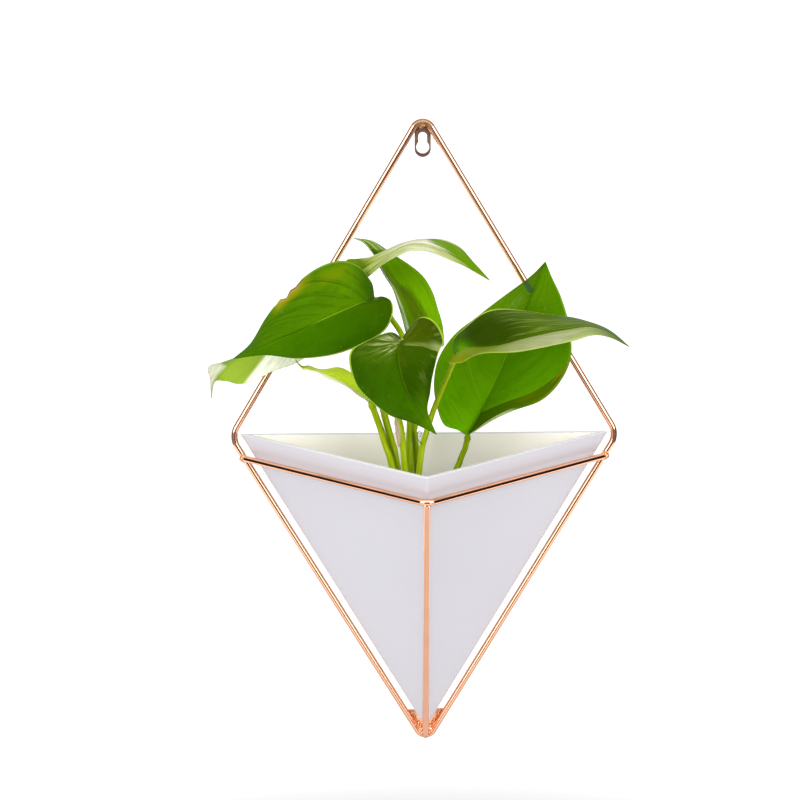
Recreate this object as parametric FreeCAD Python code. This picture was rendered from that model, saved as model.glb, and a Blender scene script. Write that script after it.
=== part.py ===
import FreeCAD, Part
import math
import os

# Wall planter: a copper-plated rod frame (a flat diamond against the wall, a
# V-shaped rail in front of it and a strut down the front edge), a white
# triangular pot that drops into the frame, and a potted trailing plant.
#
# Frame of the model: millimetres, +Z up, +X to the right for someone facing
# the wall, -Y out into the room.  The wall is the plane y = 0 and the origin
# is the centre of the round hole of the hanging keyhole.

V = FreeCAD.Vector

# ---- driving dimensions (mm) ------------------------------------------------
ROD_R = 1.9               # radius of every rod of the frame
PLATE_T = 1.5             # hanging plate and bottom gusset, both against the wall
KEYHOLE_TO_CENTRE = 168.5  # drop from the keyhole to the middle of the diamond
DIAMOND_HALF_W = 112.5    # rod centre line, corners taken unrounded
DIAMOND_HALF_H = 188.8
R_TOP = 6.0               # bend radii of the rod's centre line
R_BOTTOM = 5.5
R_SIDE = 12.0
RAIL_DROP = 12.3          # rail height below the middle of the diamond
RAIL_OUT = 112.0          # wall to the rail's unrounded corner, centre line
RAIL_BEND_R = 5.0
RAIL_END_Y = 6.2          # centre line of the rail's ends, off the wall

TAB_HALF_W = 4.6
TAB_TOP = 15.4
TAB_BOTTOM_C = -1.1       # centre of the plate's round lower end
KEY_HOLE_R = 3.7          # passes the screw's head
KEY_SLOT_W = 5.0          # takes the screw's shank
KEY_SLOT_TOP = 6.1        # centre of the slot's round top

GUSSET_TOP = 168.4        # top edge below the middle of the diamond

POT_HALF_W = 107.4        # rim, outside, corners unrounded
POT_BACK_Y = 5.7          # flat back, off the wall
POT_FRONT_Y = 114.0       # rim's front corner, off the wall
POT_RIM = 2.5             # rim above the middle of the diamond
POT_APEX = 178.8          # point where the four faces would meet, below it
POT_WALL = 3.0            # in plan
POT_REAR_R = 0.9          # corner radii at the rim
POT_FRONT_R = 2.0
POT_TIP_SCALE = 0.021     # the tip is blunted here

SOIL_TOP = 34.0           # below the rim
SOIL_DEPTH = 118.0
SOIL_GAP = 1.0            # clearance to the pot's inside, in plan

LEAF_T = 0.9              # thickness of a leaf blade
PETIOLE_R = {1: 1.75, 2: 1.7, 3: 1.7, 4: 1.65, 5: 1.75, 6: 1.5, 7: 1.9, 8: 1.75}

# ---- derived ------------------------------------------------------------------
ZC = -KEYHOLE_TO_CENTRE                    # middle of the diamond
ROD_Y = -(PLATE_T + ROD_R)                 # diamond's rod sits on the plates
Z_RAIL = ZC - RAIL_DROP
RAIL_END_X = DIAMOND_HALF_W * (1.0 - RAIL_DROP / DIAMOND_HALF_H)
Z_RIM = ZC + POT_RIM
Z_APEX = ZC - POT_APEX
Z_SOIL = Z_RIM - SOIL_TOP

os.makedirs("parts", exist_ok=True)


def export(name, shape):
    if not shape.isValid():
        print("NOT VALID", name)
    shape.exportStep("parts/%s.step" % name)
    b = shape.BoundBox
    print("%-18s solids %d  volume %9.1f  box %.1f %.1f %.1f  to  %.1f %.1f %.1f"
          % (name, len(shape.Solids), shape.Volume, b.XMin, b.YMin, b.ZMin,
             b.XMax, b.YMax, b.ZMax))


# ---- bent rods ------------------------------------------------------------------
def unit(v):
    w = FreeCAD.Vector(v)
    w.normalize()
    return w


def bend(p0, p1, p2, r):
    """Tangent points, centre, axis and angle of the bend at p1."""
    a = unit(p0 - p1)
    b = unit(p2 - p1)
    cosang = max(-1.0, min(1.0, a.dot(b)))
    half = math.acos(cosang) / 2.0          # half of the angle between the legs
    t = r / math.tan(half)
    ta, tb = p1 + a * t, p1 + b * t
    centre = p1 + unit(a + b) * (r / math.sin(half))
    axis = unit((ta - centre).cross(tb - centre))
    turn = math.pi - 2.0 * half
    return ta, tb, centre, axis, turn


def rod(points, radii, r, closed=False):
    """Round rod along straight runs joined by tangent bends, as one solid."""
    pts = [V(*p) for p in points]
    n = len(pts)
    solids = []
    bends = {}
    idx = range(n) if closed else range(1, n - 1)
    for i in idx:
        bends[i] = bend(pts[i - 1], pts[i], pts[(i + 1) % n], radii[i])
    runs = n if closed else n - 1
    for i in range(runs):
        j = (i + 1) % n
        s = bends[i][1] if i in bends else pts[i]
        e = bends[j][0] if j in bends else pts[j]
        d = e - s
        if d.Length > 1e-6:
            solids.append(Part.makeCylinder(r, d.Length, s, d))
    for i in bends:
        ta, tb, centre, axis, turn = bends[i]
        tangent = unit(pts[i] - ta)
        disc = Part.Face(Part.Wire([Part.Circle(ta, tangent, r).toShape()]))
        solids.append(disc.revolve(centre, axis, math.degrees(turn)))
    body = solids[0].multiFuse(solids[1:]) if len(solids) > 1 else solids[0]
    return body.removeSplitter()


def ball(x, y, z, r):
    return Part.makeSphere(r, V(x, y, z))


def pieces(shape, least):
    """The shape's solids that are larger than a crumb."""
    return [s for s in shape.Solids if s.Volume > least]


# ---- frame: diamond against the wall ---------------------------------------------
diamond = rod([(0, ROD_Y, ZC + DIAMOND_HALF_H),
               (DIAMOND_HALF_W, ROD_Y, ZC),
               (0, ROD_Y, ZC - DIAMOND_HALF_H),
               (-DIAMOND_HALF_W, ROD_Y, ZC)],
              [R_TOP, R_SIDE, R_BOTTOM, R_SIDE], ROD_R, closed=True)

# ---- frame: V rail, its ends coped onto the front of the diamond's lower legs ------
rail_dir = unit(V(RAIL_END_X, RAIL_OUT - RAIL_END_Y, 0))
past = 1.7                                  # each end covers the leg behind it
end_r = V(RAIL_END_X, -RAIL_END_Y, Z_RAIL) + V(rail_dir.x, rail_dir.y, 0) * past
rail_full = rod([(-end_r.x, end_r.y, Z_RAIL), (0, -RAIL_OUT, Z_RAIL),
                 (end_r.x, end_r.y, Z_RAIL)],
                [0, RAIL_BEND_R, 0], ROD_R)
rail = max(rail_full.cut(diamond).Solids, key=lambda s: s.Volume)
rail_apex_y = -(RAIL_OUT - RAIL_BEND_R * (1.0 / math.sin(
    math.atan2(RAIL_END_X, RAIL_OUT - RAIL_END_Y)) - 1.0))

# ---- frame: strut under the rail's bend, down to the diamond's bottom corner --------
z_bottom = ZC - DIAMOND_HALF_H + R_BOTTOM * (1.0 / math.sin(
    math.atan2(DIAMOND_HALF_W, DIAMOND_HALF_H)) - 1.0)      # rod centre line
strut_top = V(0, rail_apex_y, Z_RAIL)
strut_foot = V(0, ROD_Y - 2.4, z_bottom + 0.4)
strut_full = rod([tuple(strut_top), tuple(strut_foot)], [0, 0], ROD_R)
strut = max(strut_full.cut(diamond).cut(rail_full).Solids, key=lambda s: s.Volume)

# ---- frame: hanging plate with its keyhole -----------------------------------------
def stadium(half_w, z_low, z_high, depth):
    """Upright slot shape from the wall plane out to depth."""
    box = Part.makeBox(2 * half_w, depth, z_high - z_low, V(-half_w, -depth, z_low))
    low = Part.makeCylinder(half_w, depth, V(0, -depth, z_low), V(0, 1, 0))
    high = Part.makeCylinder(half_w, depth, V(0, -depth, z_high), V(0, 1, 0))
    return box.fuse([low, high]).removeSplitter()


plate = stadium(TAB_HALF_W, TAB_BOTTOM_C, TAB_TOP - TAB_HALF_W, PLATE_T)
hole = Part.makeCylinder(KEY_HOLE_R, PLATE_T + 2, V(0, -PLATE_T - 1, 0), V(0, 1, 0))
slot = stadium(KEY_SLOT_W / 2.0, 0.0, KEY_SLOT_TOP, PLATE_T + 1)
slot.translate(V(0, 0.5, 0))
plate = plate.cut(hole).cut(slot).removeSplitter()

# ---- frame: gusset in the bottom corner, also against the wall ----------------------
z_gt = ZC - GUSSET_TOP
gw = DIAMOND_HALF_W * (1.0 - GUSSET_TOP / DIAMOND_HALF_H) + 0.2
zb = z_bottom - 0.4
flank = V(gw, 0, z_gt) - V(0, 0, ZC - DIAMOND_HALF_H)
cut_x = gw * (zb - (ZC - DIAMOND_HALF_H)) / flank.z
outline = Part.makePolygon([V(-gw, 0, z_gt - 0.4), V(gw, 0, z_gt + 0.4), V(cut_x, 0, zb),
                            V(-cut_x, 0, zb), V(-gw, 0, z_gt - 0.4)])
gusset = Part.Face(outline).extrude(V(0, -PLATE_T, 0))

# ---- frame: weld beads --------------------------------------------------------------
def leg_point(z, side, inward=0.0, y=ROD_Y):
    """A point on the leg's centre line at height z, moved towards the middle."""
    frac = abs(z - ZC) / DIAMOND_HALF_H
    return V(side * (DIAMOND_HALF_W * (1.0 - frac) - inward), y, z)


beads = []
rods = [diamond, rail, strut, plate, gusset]


def bead(raw, least=0.35):
    for other in rods:
        raw = raw.cut(other)
    beads.extend(pieces(raw, least))


for side in (-1, 1):
    # rail end on the leg
    bead(ball(side * (RAIL_END_X - 0.7), -RAIL_END_Y + 0.3, Z_RAIL, 2.75))
    # gusset spot welds along the inside of each leg
    for z in (z_gt - 3.2, z_gt - 9.4):
        p = leg_point(z, side, 2.6)
        bead(ball(p.x, -PLATE_T - 0.5, p.z, 1.35))
# strut under the rail's bend
bead(ball(0, rail_apex_y + 0.2, Z_RAIL - 1.7, 2.45))
# strut's foot on the bottom corner
bead(ball(0, ROD_Y - 2.4, z_bottom + 0.9, 2.75))
# top corner: butt weld of the bent rod, and a fillet down the plate's edge
bead(ball(0.3, ROD_Y + 0.2, ZC + DIAMOND_HALF_H - 8.2, 2.9))
p = leg_point(8.4, 1, 2.45)
bead(ball(p.x, -PLATE_T - 0.55, p.z, 1.35))
weld_beads = Part.makeCompound(beads)

# ---- pot ----------------------------------------------------------------------------
def rounded_triangle(corners, radii, z, centre, k):
    """Wire of a triangle in plan with round corners, scaled by k about centre."""
    cx, cy = centre
    edges = []
    marks = []
    n = 3
    for i in range(n):
        p0, p1, p2 = corners[i - 1], corners[i], corners[(i + 1) % n]
        ta, tb, c, ax, turn = bend(V(p0[0], p0[1], 0), V(p1[0], p1[1], 0),
                                   V(p2[0], p2[1], 0), radii[i])
        mid = c + unit(V(p1[0], p1[1], 0) - c) * radii[i]
        marks.append((ta, mid, tb))

    def place(v):
        return V(cx + (v.x - cx) * k, cy + (v.y - cy) * k, z)
    for i in range(n):
        ta, mid, tb = marks[i]
        nxt = marks[(i + 1) % n][0]
        edges.append(Part.Arc(place(ta), place(mid), place(tb)).toShape())
        edges.append(Part.LineSegment(place(tb), place(nxt)).toShape())
    return Part.Wire(edges)


def offset_corners(corners, d):
    """Corners of the triangle whose sides are moved inwards by d."""
    sides = []
    for i in range(3):
        a, b = corners[i], corners[(i + 1) % 3]
        ux, uy = b[0] - a[0], b[1] - a[1]
        ln = math.hypot(ux, uy)
        nx, ny = -uy / ln, ux / ln          # inwards for a counter-clockwise order
        sides.append(((a[0] + nx * d, a[1] + ny * d), (ux / ln, uy / ln)))
    out = []
    for i in range(3):
        (ax, ay), (ux, uy) = sides[i - 1]
        (bx, by), (wx, wy) = sides[i]
        det = ux * (-wy) - uy * (-wx)
        t = ((bx - ax) * (-wy) - (by - ay) * (-wx)) / det
        out.append((ax + ux * t, ay + uy * t))
    return out


rim_outer = [(-POT_HALF_W, -POT_BACK_Y), (0.0, -POT_FRONT_Y), (POT_HALF_W, -POT_BACK_Y)]
side_len = math.hypot(POT_HALF_W, POT_FRONT_Y - POT_BACK_Y)
inradius = (2 * POT_HALF_W * (POT_FRONT_Y - POT_BACK_Y)) / (2 * POT_HALF_W + 2 * side_len)
apex_xy = (0.0, -POT_BACK_Y)
pot_height = Z_RIM - Z_APEX


def pyramid(corners, radii, apex, z_apex, z_low, z_high):
    """Frustum of the pyramid that has these corners at the rim and this apex."""
    k_low = (z_low - z_apex) / (Z_RIM - z_apex)
    k_high = (z_high - z_apex) / (Z_RIM - z_apex)
    low = rounded_triangle(corners, radii, z_low, apex, k_low)
    high = rounded_triangle(corners, radii, z_high, apex, k_high)
    return Part.makeLoft([low, high], True, True)


def inner_pyramid(gap, radii, z_low, z_high):
    """Space left inside the pot's outer faces by a wall of this plan thickness."""
    corners = offset_corners(rim_outer, gap)
    s0 = gap / inradius
    apex = (0.0, -POT_BACK_Y - gap)
    z0 = Z_APEX + s0 * pot_height
    return pyramid(corners, radii, apex, z0, z_low, z_high)


pot_outer = pyramid(rim_outer, [POT_REAR_R, POT_FRONT_R, POT_REAR_R], apex_xy, Z_APEX,
                    Z_APEX + POT_TIP_SCALE * pot_height, Z_RIM)
z_floor = Z_APEX + (POT_WALL / inradius) * pot_height + 6.0
pot_inner = inner_pyramid(POT_WALL, [0.6, 1.2, 0.6], z_floor, Z_RIM + 1.0)
pot = pot_outer.cut(pot_inner)
rim_edges = [e for e in pot.Edges
             if abs(e.BoundBox.ZMin - Z_RIM) < 1e-4 and abs(e.BoundBox.ZMax - Z_RIM) < 1e-4]
for soften, size in ((pot.makeFillet, 0.5), (pot.makeFillet, 0.35), (pot.makeChamfer, 0.35)):
    try:
        soft = soften(size, rim_edges)
    except Exception:
        continue
    if soft.isValid() and 0.98 * pot.Volume < soft.Volume < pot.Volume:
        print("rim eased by", size)
        pot = soft
        break
else:
    print("rim left sharp")

# ---- plant: petioles ------------------------------------------------------------------
# Centre line of each leaf stalk, from the leaf to the pot's mouth.
PETIOLES = {
    "petiole_1": [(-28.0, -49.0, -79.1), (-23.3, -46.0, -83.5), (-18.5, -45.0, -91.1), (-12.2, -45.0, -102.1), (-8.4, -45.0, -121.7), (-8.8, -45.0, -150.7), (-9.2, -44.0, -168.4)],
    "petiole_2": [(-56.4, -29.0, -102.1), (-45.1, -26.0, -103.3), (-35.4, -27.0, -107.9), (-28.7, -31.0, -119.9), (-24.3, -38.0, -142.3), (-19.9, -41.0, -159.7), (-17.2, -42.0, -170.6)],
    "petiole_3": [(-30.5, -45.5, -139.3), (-27.8, -46.0, -146.8), (-25.0, -46.0, -155.0), (-22.2, -46.0, -164.3), (-19.5, -46.0, -173.1)],
    "petiole_4": [(-12.7, -79.0, -96.6), (-13.5, -76.0, -103.6), (-15.3, -68.0, -121.2), (-16.2, -60.0, -139.0), (-13.7, -55.0, -151.8), (-12.5, -51.0, -165.5)],
    "petiole_5": [(-42.9, -33.5, -72.5), (-36.8, -33.0, -81.2), (-31.8, -33.5, -92.7), (-26.9, -35.0, -105.7), (-19.6, -37.0, -120.4), (-11.8, -39.5, -136.8), (-7.1, -41.0, -152.8), (-5.3, -41.0, -165.7)],
    "petiole_6": [(4.9, -29.5, -111.2), (3.2, -30.0, -125.0), (-2.1, -32.5, -143.7), (-6.2, -33.5, -158.1), (-7.7, -34.0, -170.9)],
    "petiole_7": [(24.6, -37.0, -161.1), (23.1, -38.0, -167.3), (20.5, -39.0, -173.5), (18.2, -40.0, -179.1)],
    "petiole_8": [(16.2, -67.0, -108.6), (14.3, -65.0, -115.3), (9.9, -60.0, -127.2), (4.3, -56.0, -142.4), (0.4, -51.0, -156.3), (-2.2, -47.0, -167.8)],
}

# Foot of each stalk, 7 mm down in the potting soil.
FEET = {
    "petiole_1": (-9.0, -42.5, -206.5),
    "petiole_2": (-14.0, -40.5, -206.5),
    "petiole_3": (-15.5, -46.0, -206.5),
    "petiole_4": (-10.5, -48.0, -206.5),
    "petiole_5": (-4.0, -41.0, -206.5),
    "petiole_6": (-9.0, -34.5, -206.5),
    "petiole_7": (10.0, -42.0, -206.5),
    "petiole_8": (-5.0, -46.5, -206.5),
}

# Each leaf blade as ribs across it, base to tip: edge, midrib, edge.
LEAF_RIBS = {
    "leaf_1": [
        ((-28.0, -50.0, -78.7), (-28.0, -50.0, -78.7), (-28.0, -50.0, -78.7)),
        ((-28.7, -46.0, -74.3), (-30.0, -53.0, -78.8), (-23.2, -54.0, -76.5)),
        ((-30.7, -43.8, -68.7), (-33.3, -55.7, -79.2), (-18.5, -56.2, -79.0)),
        ((-36.6, -42.7, -61.4), (-38.3, -58.0, -80.5), (-18.1, -57.1, -86.5)),
        ((-47.7, -42.1, -58.5), (-46.1, -59.5, -83.5), (-22.8, -57.7, -95.7)),
        ((-62.9, -42.6, -63.8), (-57.3, -60.4, -88.3), (-35.2, -58.4, -102.9)),
        ((-78.1, -46.2, -76.1), (-69.6, -61.0, -93.8), (-53.1, -59.1, -108.8)),
        ((-88.5, -51.1, -88.5), (-82.7, -61.5, -99.0), (-71.6, -59.8, -110.5)),
        ((-97.8, -56.0, -102.2), (-95.4, -61.9, -104.8), (-88.8, -60.8, -107.9)),
        ((-107.2, -62.0, -109.8), (-107.2, -62.0, -109.8), (-107.2, -62.0, -109.8)),
    ],
    "leaf_2": [
        ((-56.4, -30.0, -101.9), (-56.4, -30.0, -101.9), (-56.4, -30.0, -101.9)),
        ((-63.9, -23.6, -98.4), (-61.5, -31.1, -102.8), (-58.1, -32.5, -108.3)),
        ((-75.4, -19.1, -99.2), (-70.6, -32.1, -104.8), (-66.1, -34.7, -114.1)),
        ((-88.1, -18.0, -102.3), (-80.8, -32.9, -108.0), (-75.2, -36.6, -118.9)),
        ((-98.6, -18.0, -113.3), (-92.2, -33.7, -111.8), (-85.9, -38.5, -122.1)),
        ((-107.9, -18.0, -118.2), (-101.9, -34.3, -114.5), (-97.3, -39.9, -127.6)),
        ((-115.9, -19.5, -120.6), (-109.9, -34.8, -118.7), (-105.9, -39.8, -129.1)),
        ((-123.2, -26.0, -122.5), (-116.5, -35.3, -124.9), (-112.7, -38.8, -127.5)),
        ((-122.3, -31.6, -128.3), (-120.5, -35.7, -129.7), (-119.0, -37.6, -128.5)),
        ((-121.3, -36.0, -138.4), (-121.3, -36.0, -138.4), (-121.3, -36.0, -138.4)),
    ],
    "leaf_3": [
        ((-30.5, -46.0, -139.2), (-30.5, -46.0, -139.2), (-30.5, -46.0, -139.2)),
        ((-32.2, -41.1, -131.6), (-34.5, -47.2, -134.9), (-34.4, -53.1, -135.0)),
        ((-37.8, -38.3, -125.2), (-40.6, -48.3, -129.4), (-40.8, -57.5, -129.9)),
        ((-44.6, -38.2, -121.4), (-47.3, -49.2, -124.8), (-48.3, -58.0, -125.0)),
        ((-51.6, -39.0, -120.3), (-54.0, -50.0, -121.5), (-55.5, -58.0, -121.6)),
        ((-58.7, -40.3, -120.5), (-60.4, -50.6, -119.5), (-61.1, -58.0, -119.0)),
        ((-65.4, -42.9, -118.5), (-66.3, -51.2, -117.7), (-66.7, -56.9, -117.5)),
        ((-69.5, -46.9, -117.2), (-69.9, -51.7, -116.3), (-70.4, -54.8, -116.0)),
        ((-72.9, -52.0, -112.2), (-72.9, -52.0, -112.2), (-72.9, -52.0, -112.2)),
    ],
    "leaf_4": [
        ((-12.7, -80.0, -96.1), (-12.7, -80.0, -96.1), (-12.7, -80.0, -96.1)),
        ((-15.4, -74.8, -94.3), (-13.3, -82.5, -96.7), (-11.0, -73.4, -94.3)),
        ((-19.5, -72.1, -93.6), (-14.1, -84.5, -98.2), (-7.9, -69.1, -90.1)),
        ((-26.7, -72.6, -94.9), (-14.8, -85.8, -100.5), (-2.8, -68.0, -86.3)),
        ((-35.0, -74.3, -98.7), (-15.1, -86.3, -103.7), (3.2, -68.7, -86.7)),
        ((-41.2, -76.1, -103.4), (-14.7, -86.6, -107.6), (8.2, -70.1, -91.5)),
        ((-41.9, -77.4, -111.6), (-13.7, -86.9, -112.3), (10.2, -76.7, -98.1)),
        ((-38.8, -78.8, -121.5), (-12.1, -87.1, -118.2), (6.8, -80.6, -103.4)),
        ((-31.7, -80.6, -128.8), (-9.6, -87.4, -124.6), (4.3, -81.7, -115.0)),
        ((-19.9, -82.7, -138.0), (-6.1, -87.6, -131.7), (2.5, -83.3, -124.8)),
        ((-7.2, -85.2, -142.1), (-1.5, -87.8, -139.3), (0.6, -85.4, -134.8)),
        ((5.9, -88.0, -147.9), (5.9, -88.0, -147.9), (5.9, -88.0, -147.9)),
    ],
    "leaf_5": [
        ((-42.9, -34.0, -72.4), (-42.9, -34.0, -72.4), (-42.9, -34.0, -72.4)),
        ((-44.3, -28.0, -61.4), (-38.4, -34.8, -67.7), (-37.8, -36.5, -72.5)),
        ((-38.4, -25.4, -60.4), (-32.7, -36.0, -63.0), (-31.6, -38.5, -68.2)),
        ((-29.9, -25.1, -58.6), (-24.7, -38.2, -57.5), (-24.2, -48.4, -60.8)),
        ((-20.8, -26.0, -55.1), (-15.7, -41.0, -52.2), (-16.9, -54.9, -54.4)),
        ((-11.7, -27.3, -51.1), (-6.8, -43.0, -48.6), (-9.7, -59.3, -50.3)),
        ((-1.0, -28.8, -48.1), (2.2, -44.0, -48.8), (-0.3, -59.8, -50.5)),
        ((9.7, -31.0, -48.4), (11.1, -44.8, -52.7), (8.6, -58.3, -52.9)),
        ((19.8, -34.0, -52.3), (20.0, -45.4, -58.3), (18.1, -56.0, -57.3)),
        ((28.6, -39.0, -60.7), (28.4, -45.8, -64.0), (27.1, -52.0, -63.2)),
        ((36.8, -46.0, -69.5), (36.8, -46.0, -69.5), (36.8, -46.0, -69.5)),
    ],
    "leaf_6": [
        ((4.9, -30.0, -111.1), (4.9, -30.0, -111.1), (4.9, -30.0, -111.1)),
        ((-4.2, -29.4, -113.5), (3.3, -27.8, -104.6), (11.3, -24.8, -110.5)),
        ((-9.2, -28.3, -106.7), (0.5, -25.6, -95.7), (10.9, -20.4, -102.0)),
        ((-13.1, -26.9, -92.4), (-4.5, -23.3, -86.8), (8.1, -17.1, -92.2)),
        ((-17.3, -25.2, -79.4), (-11.3, -21.1, -78.8), (5.6, -14.3, -82.2)),
        ((-21.7, -22.6, -71.5), (-17.5, -18.8, -71.9), (0.3, -12.3, -73.8)),
        ((-25.9, -19.8, -64.2), (-23.7, -16.2, -64.8), (-8.8, -11.7, -65.7)),
        ((-30.2, -17.4, -57.3), (-29.3, -14.2, -57.6), (-19.6, -11.5, -58.1)),
        ((-34.4, -15.1, -51.9), (-34.1, -13.4, -52.5), (-29.3, -11.9, -52.2)),
        ((-40.1, -13.0, -50.2), (-40.1, -13.0, -50.2), (-40.1, -13.0, -50.2)),
    ],
    "leaf_7": [
        ((24.0, -38.0, -160.8), (24.0, -38.0, -160.8), (24.0, -38.0, -160.8)),
        ((19.2, -36.7, -157.9), (26.0, -35.4, -157.9), (29.6, -41.0, -156.6)),
        ((10.9, -35.3, -154.6), (29.3, -33.0, -152.7), (37.4, -43.2, -150.9)),
        ((6.7, -34.0, -143.5), (33.3, -31.2, -144.9), (50.5, -44.0, -145.0)),
        ((5.3, -32.7, -130.9), (37.9, -30.0, -135.6), (65.8, -43.7, -139.1)),
        ((8.0, -31.4, -116.9), (42.8, -29.2, -125.3), (76.5, -43.0, -128.6)),
        ((16.9, -30.0, -103.6), (47.7, -28.6, -113.2), (82.7, -42.0, -114.5)),
        ((30.1, -28.1, -93.4), (52.8, -28.2, -100.8), (81.9, -39.5, -97.7)),
        ((44.9, -27.0, -82.2), (58.2, -28.0, -87.6), (77.2, -36.0, -81.0)),
        ((60.1, -27.8, -70.6), (63.8, -28.6, -74.8), (72.0, -33.0, -69.5)),
        ((68.7, -30.0, -61.6), (68.7, -30.0, -61.6), (68.7, -30.0, -61.6)),
    ],
    "leaf_8": [
        ((16.2, -68.0, -108.4), (16.2, -68.0, -108.4), (16.2, -68.0, -108.4)),
        ((15.5, -62.4, -105.6), (19.3, -69.0, -104.0), (17.1, -78.0, -110.4)),
        ((16.8, -58.0, -99.7), (24.8, -69.9, -102.7), (21.5, -85.6, -106.7)),
        ((21.9, -54.3, -94.5), (33.1, -70.7, -102.3), (28.0, -89.8, -103.1)),
        ((31.5, -51.3, -87.7), (43.0, -71.4, -101.1), (37.7, -92.8, -100.7)),
        ((42.2, -50.0, -85.1), (53.5, -72.0, -98.0), (51.3, -94.0, -99.9)),
        ((56.2, -50.8, -85.5), (66.2, -72.5, -94.9), (65.6, -92.8, -98.3)),
        ((71.8, -52.9, -88.1), (78.9, -73.0, -92.4), (78.9, -89.8, -95.6)),
        ((88.3, -56.0, -90.6), (91.0, -73.4, -91.0), (91.2, -86.0, -92.9)),
        ((101.8, -62.9, -94.3), (102.1, -73.7, -94.7), (102.1, -80.9, -95.9)),
        ((113.0, -74.0, -102.3), (113.0, -74.0, -102.3), (113.0, -74.0, -102.3)),
    ],
}


def petiole(name, points, r, foot):
    """Leaf stalk from its leaf down to its foot in the potting soil."""
    pts = [V(*p) for p in points] + [V(foot[0], foot[1], foot[2] + 9.0), V(*foot)]
    radii = [0.0]
    for i in range(1, len(pts) - 1):
        a, b = pts[i - 1] - pts[i], pts[i + 1] - pts[i]
        half = a.getAngle(b) / 2.0
        if math.pi - 2 * half < 0.02:       # a turn this slight is taken out
            radii.append(None)
            continue
        radii.append(0.45 * min(a.Length, b.Length) * math.tan(half))
    radii.append(0.0)
    keep = [i for i in range(len(pts)) if radii[i] is not None]
    return rod([tuple(pts[i]) for i in keep], [radii[i] for i in keep], r)


petioles = {}
for name, points in PETIOLES.items():
    k = int(name[-1])
    petioles[name] = petiole(name, points, PETIOLE_R[k], FEET[name])

# ---- plant: potting soil, a block that drops into the pot --------------------------------
soil = inner_pyramid(POT_WALL + SOIL_GAP, [2.5, 2.5, 2.5], Z_SOIL - SOIL_DEPTH, Z_SOIL)
for name in petioles:
    soil = soil.cut(petioles[name])
soil = max(soil.Solids, key=lambda s: s.Volume)

# ---- plant: leaf blades --------------------------------------------------------------------
def leaf(ribs, t):
    """Thin closed blade through ribs of three points: edge, midrib, edge."""
    rows = [[V(*p) for p in rib] for rib in ribs]
    n = len(rows)
    verts = []
    index = {}

    def add(i, j):
        if i in (0, n - 1):
            j = 1                           # base and tip are single points
        if (i, j) not in index:
            index[(i, j)] = len(verts)
            verts.append(rows[i][j])
        return index[(i, j)]

    tris = []
    for i in range(n - 1):
        for j in (0, 1):
            a, b = add(i, j), add(i, j + 1)
            c, d = add(i + 1, j), add(i + 1, j + 1)
            if a == b:
                tris.append((a, d, c))
            elif c == d:
                tris.append((a, b, c))
            else:
                # split along the shorter diagonal
                if (verts[a] - verts[d]).Length <= (verts[b] - verts[c]).Length:
                    tris += [(a, b, d), (a, d, c)]
                else:
                    tris += [(a, b, c), (b, d, c)]
    normals = [V(0, 0, 0) for _ in verts]
    for a, b, c in tris:
        m = (verts[b] - verts[a]).cross(verts[c] - verts[a])
        for q in (a, b, c):
            normals[q] += m
    normals = [unit(m) for m in normals]
    top = [verts[q] + normals[q] * (t / 2.0) for q in range(len(verts))]
    low = [verts[q] - normals[q] * (t / 2.0) for q in range(len(verts))]
    m = len(verts)
    pts = top + low
    faces = [(a, b, c) for a, b, c in tris] + [(c + m, b + m, a + m) for a, b, c in tris]
    count = {}
    for a, b, c in tris:
        for e in ((a, b), (b, c), (c, a)):
            count[e] = count.get(e, 0) + 1
    for (a, b) in list(count):
        if (b, a) not in count:             # an edge of the blade
            faces += [(b, a, a + m), (b, a + m, b + m)]
    shell = []
    for a, b, c in faces:
        shell.append(Part.Face(Part.makePolygon([pts[a], pts[b], pts[c], pts[a]])))
    sewn = Part.makeShell(shell)
    sewn.sewShape()
    solid = Part.Solid(sewn if sewn.ShapeType == "Shell" else sewn.Shells[0])
    if solid.Volume < 0:
        solid.reverse()
    return solid


leaves = {name: leaf(ribs, LEAF_T) for name, ribs in LEAF_RIBS.items()}

# ---- write every piece ------------------------------------------------------------------------
export("back_diamond", diamond)
export("front_rail", rail)
export("front_strut", strut)
export("hanger_plate", plate)
export("bottom_gusset", gusset)
export("weld_beads", weld_beads)
export("planter_pot", pot)
export("potting_soil", soil)
for name in sorted(petioles):
    export(name, petioles[name])
for name in sorted(leaves):
    export(name, leaves[name])
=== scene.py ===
import bpy
import bmesh
import math
import numpy as np
from mathutils import Matrix, Vector, noise


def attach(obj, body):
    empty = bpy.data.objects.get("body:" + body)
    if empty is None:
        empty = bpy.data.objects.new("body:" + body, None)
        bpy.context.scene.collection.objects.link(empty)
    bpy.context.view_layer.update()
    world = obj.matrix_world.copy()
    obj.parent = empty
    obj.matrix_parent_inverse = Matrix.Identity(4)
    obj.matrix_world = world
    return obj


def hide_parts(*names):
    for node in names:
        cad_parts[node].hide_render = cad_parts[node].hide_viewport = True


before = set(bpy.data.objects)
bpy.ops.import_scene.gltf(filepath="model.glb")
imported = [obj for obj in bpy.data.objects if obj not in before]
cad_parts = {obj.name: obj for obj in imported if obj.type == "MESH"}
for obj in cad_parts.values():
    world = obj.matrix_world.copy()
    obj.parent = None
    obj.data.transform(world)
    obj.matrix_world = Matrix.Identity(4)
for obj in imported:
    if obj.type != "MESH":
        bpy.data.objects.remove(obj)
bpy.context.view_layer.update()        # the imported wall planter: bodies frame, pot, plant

MM = 0.001
scene = bpy.context.scene
scene.view_settings.view_transform = "Standard"

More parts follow.
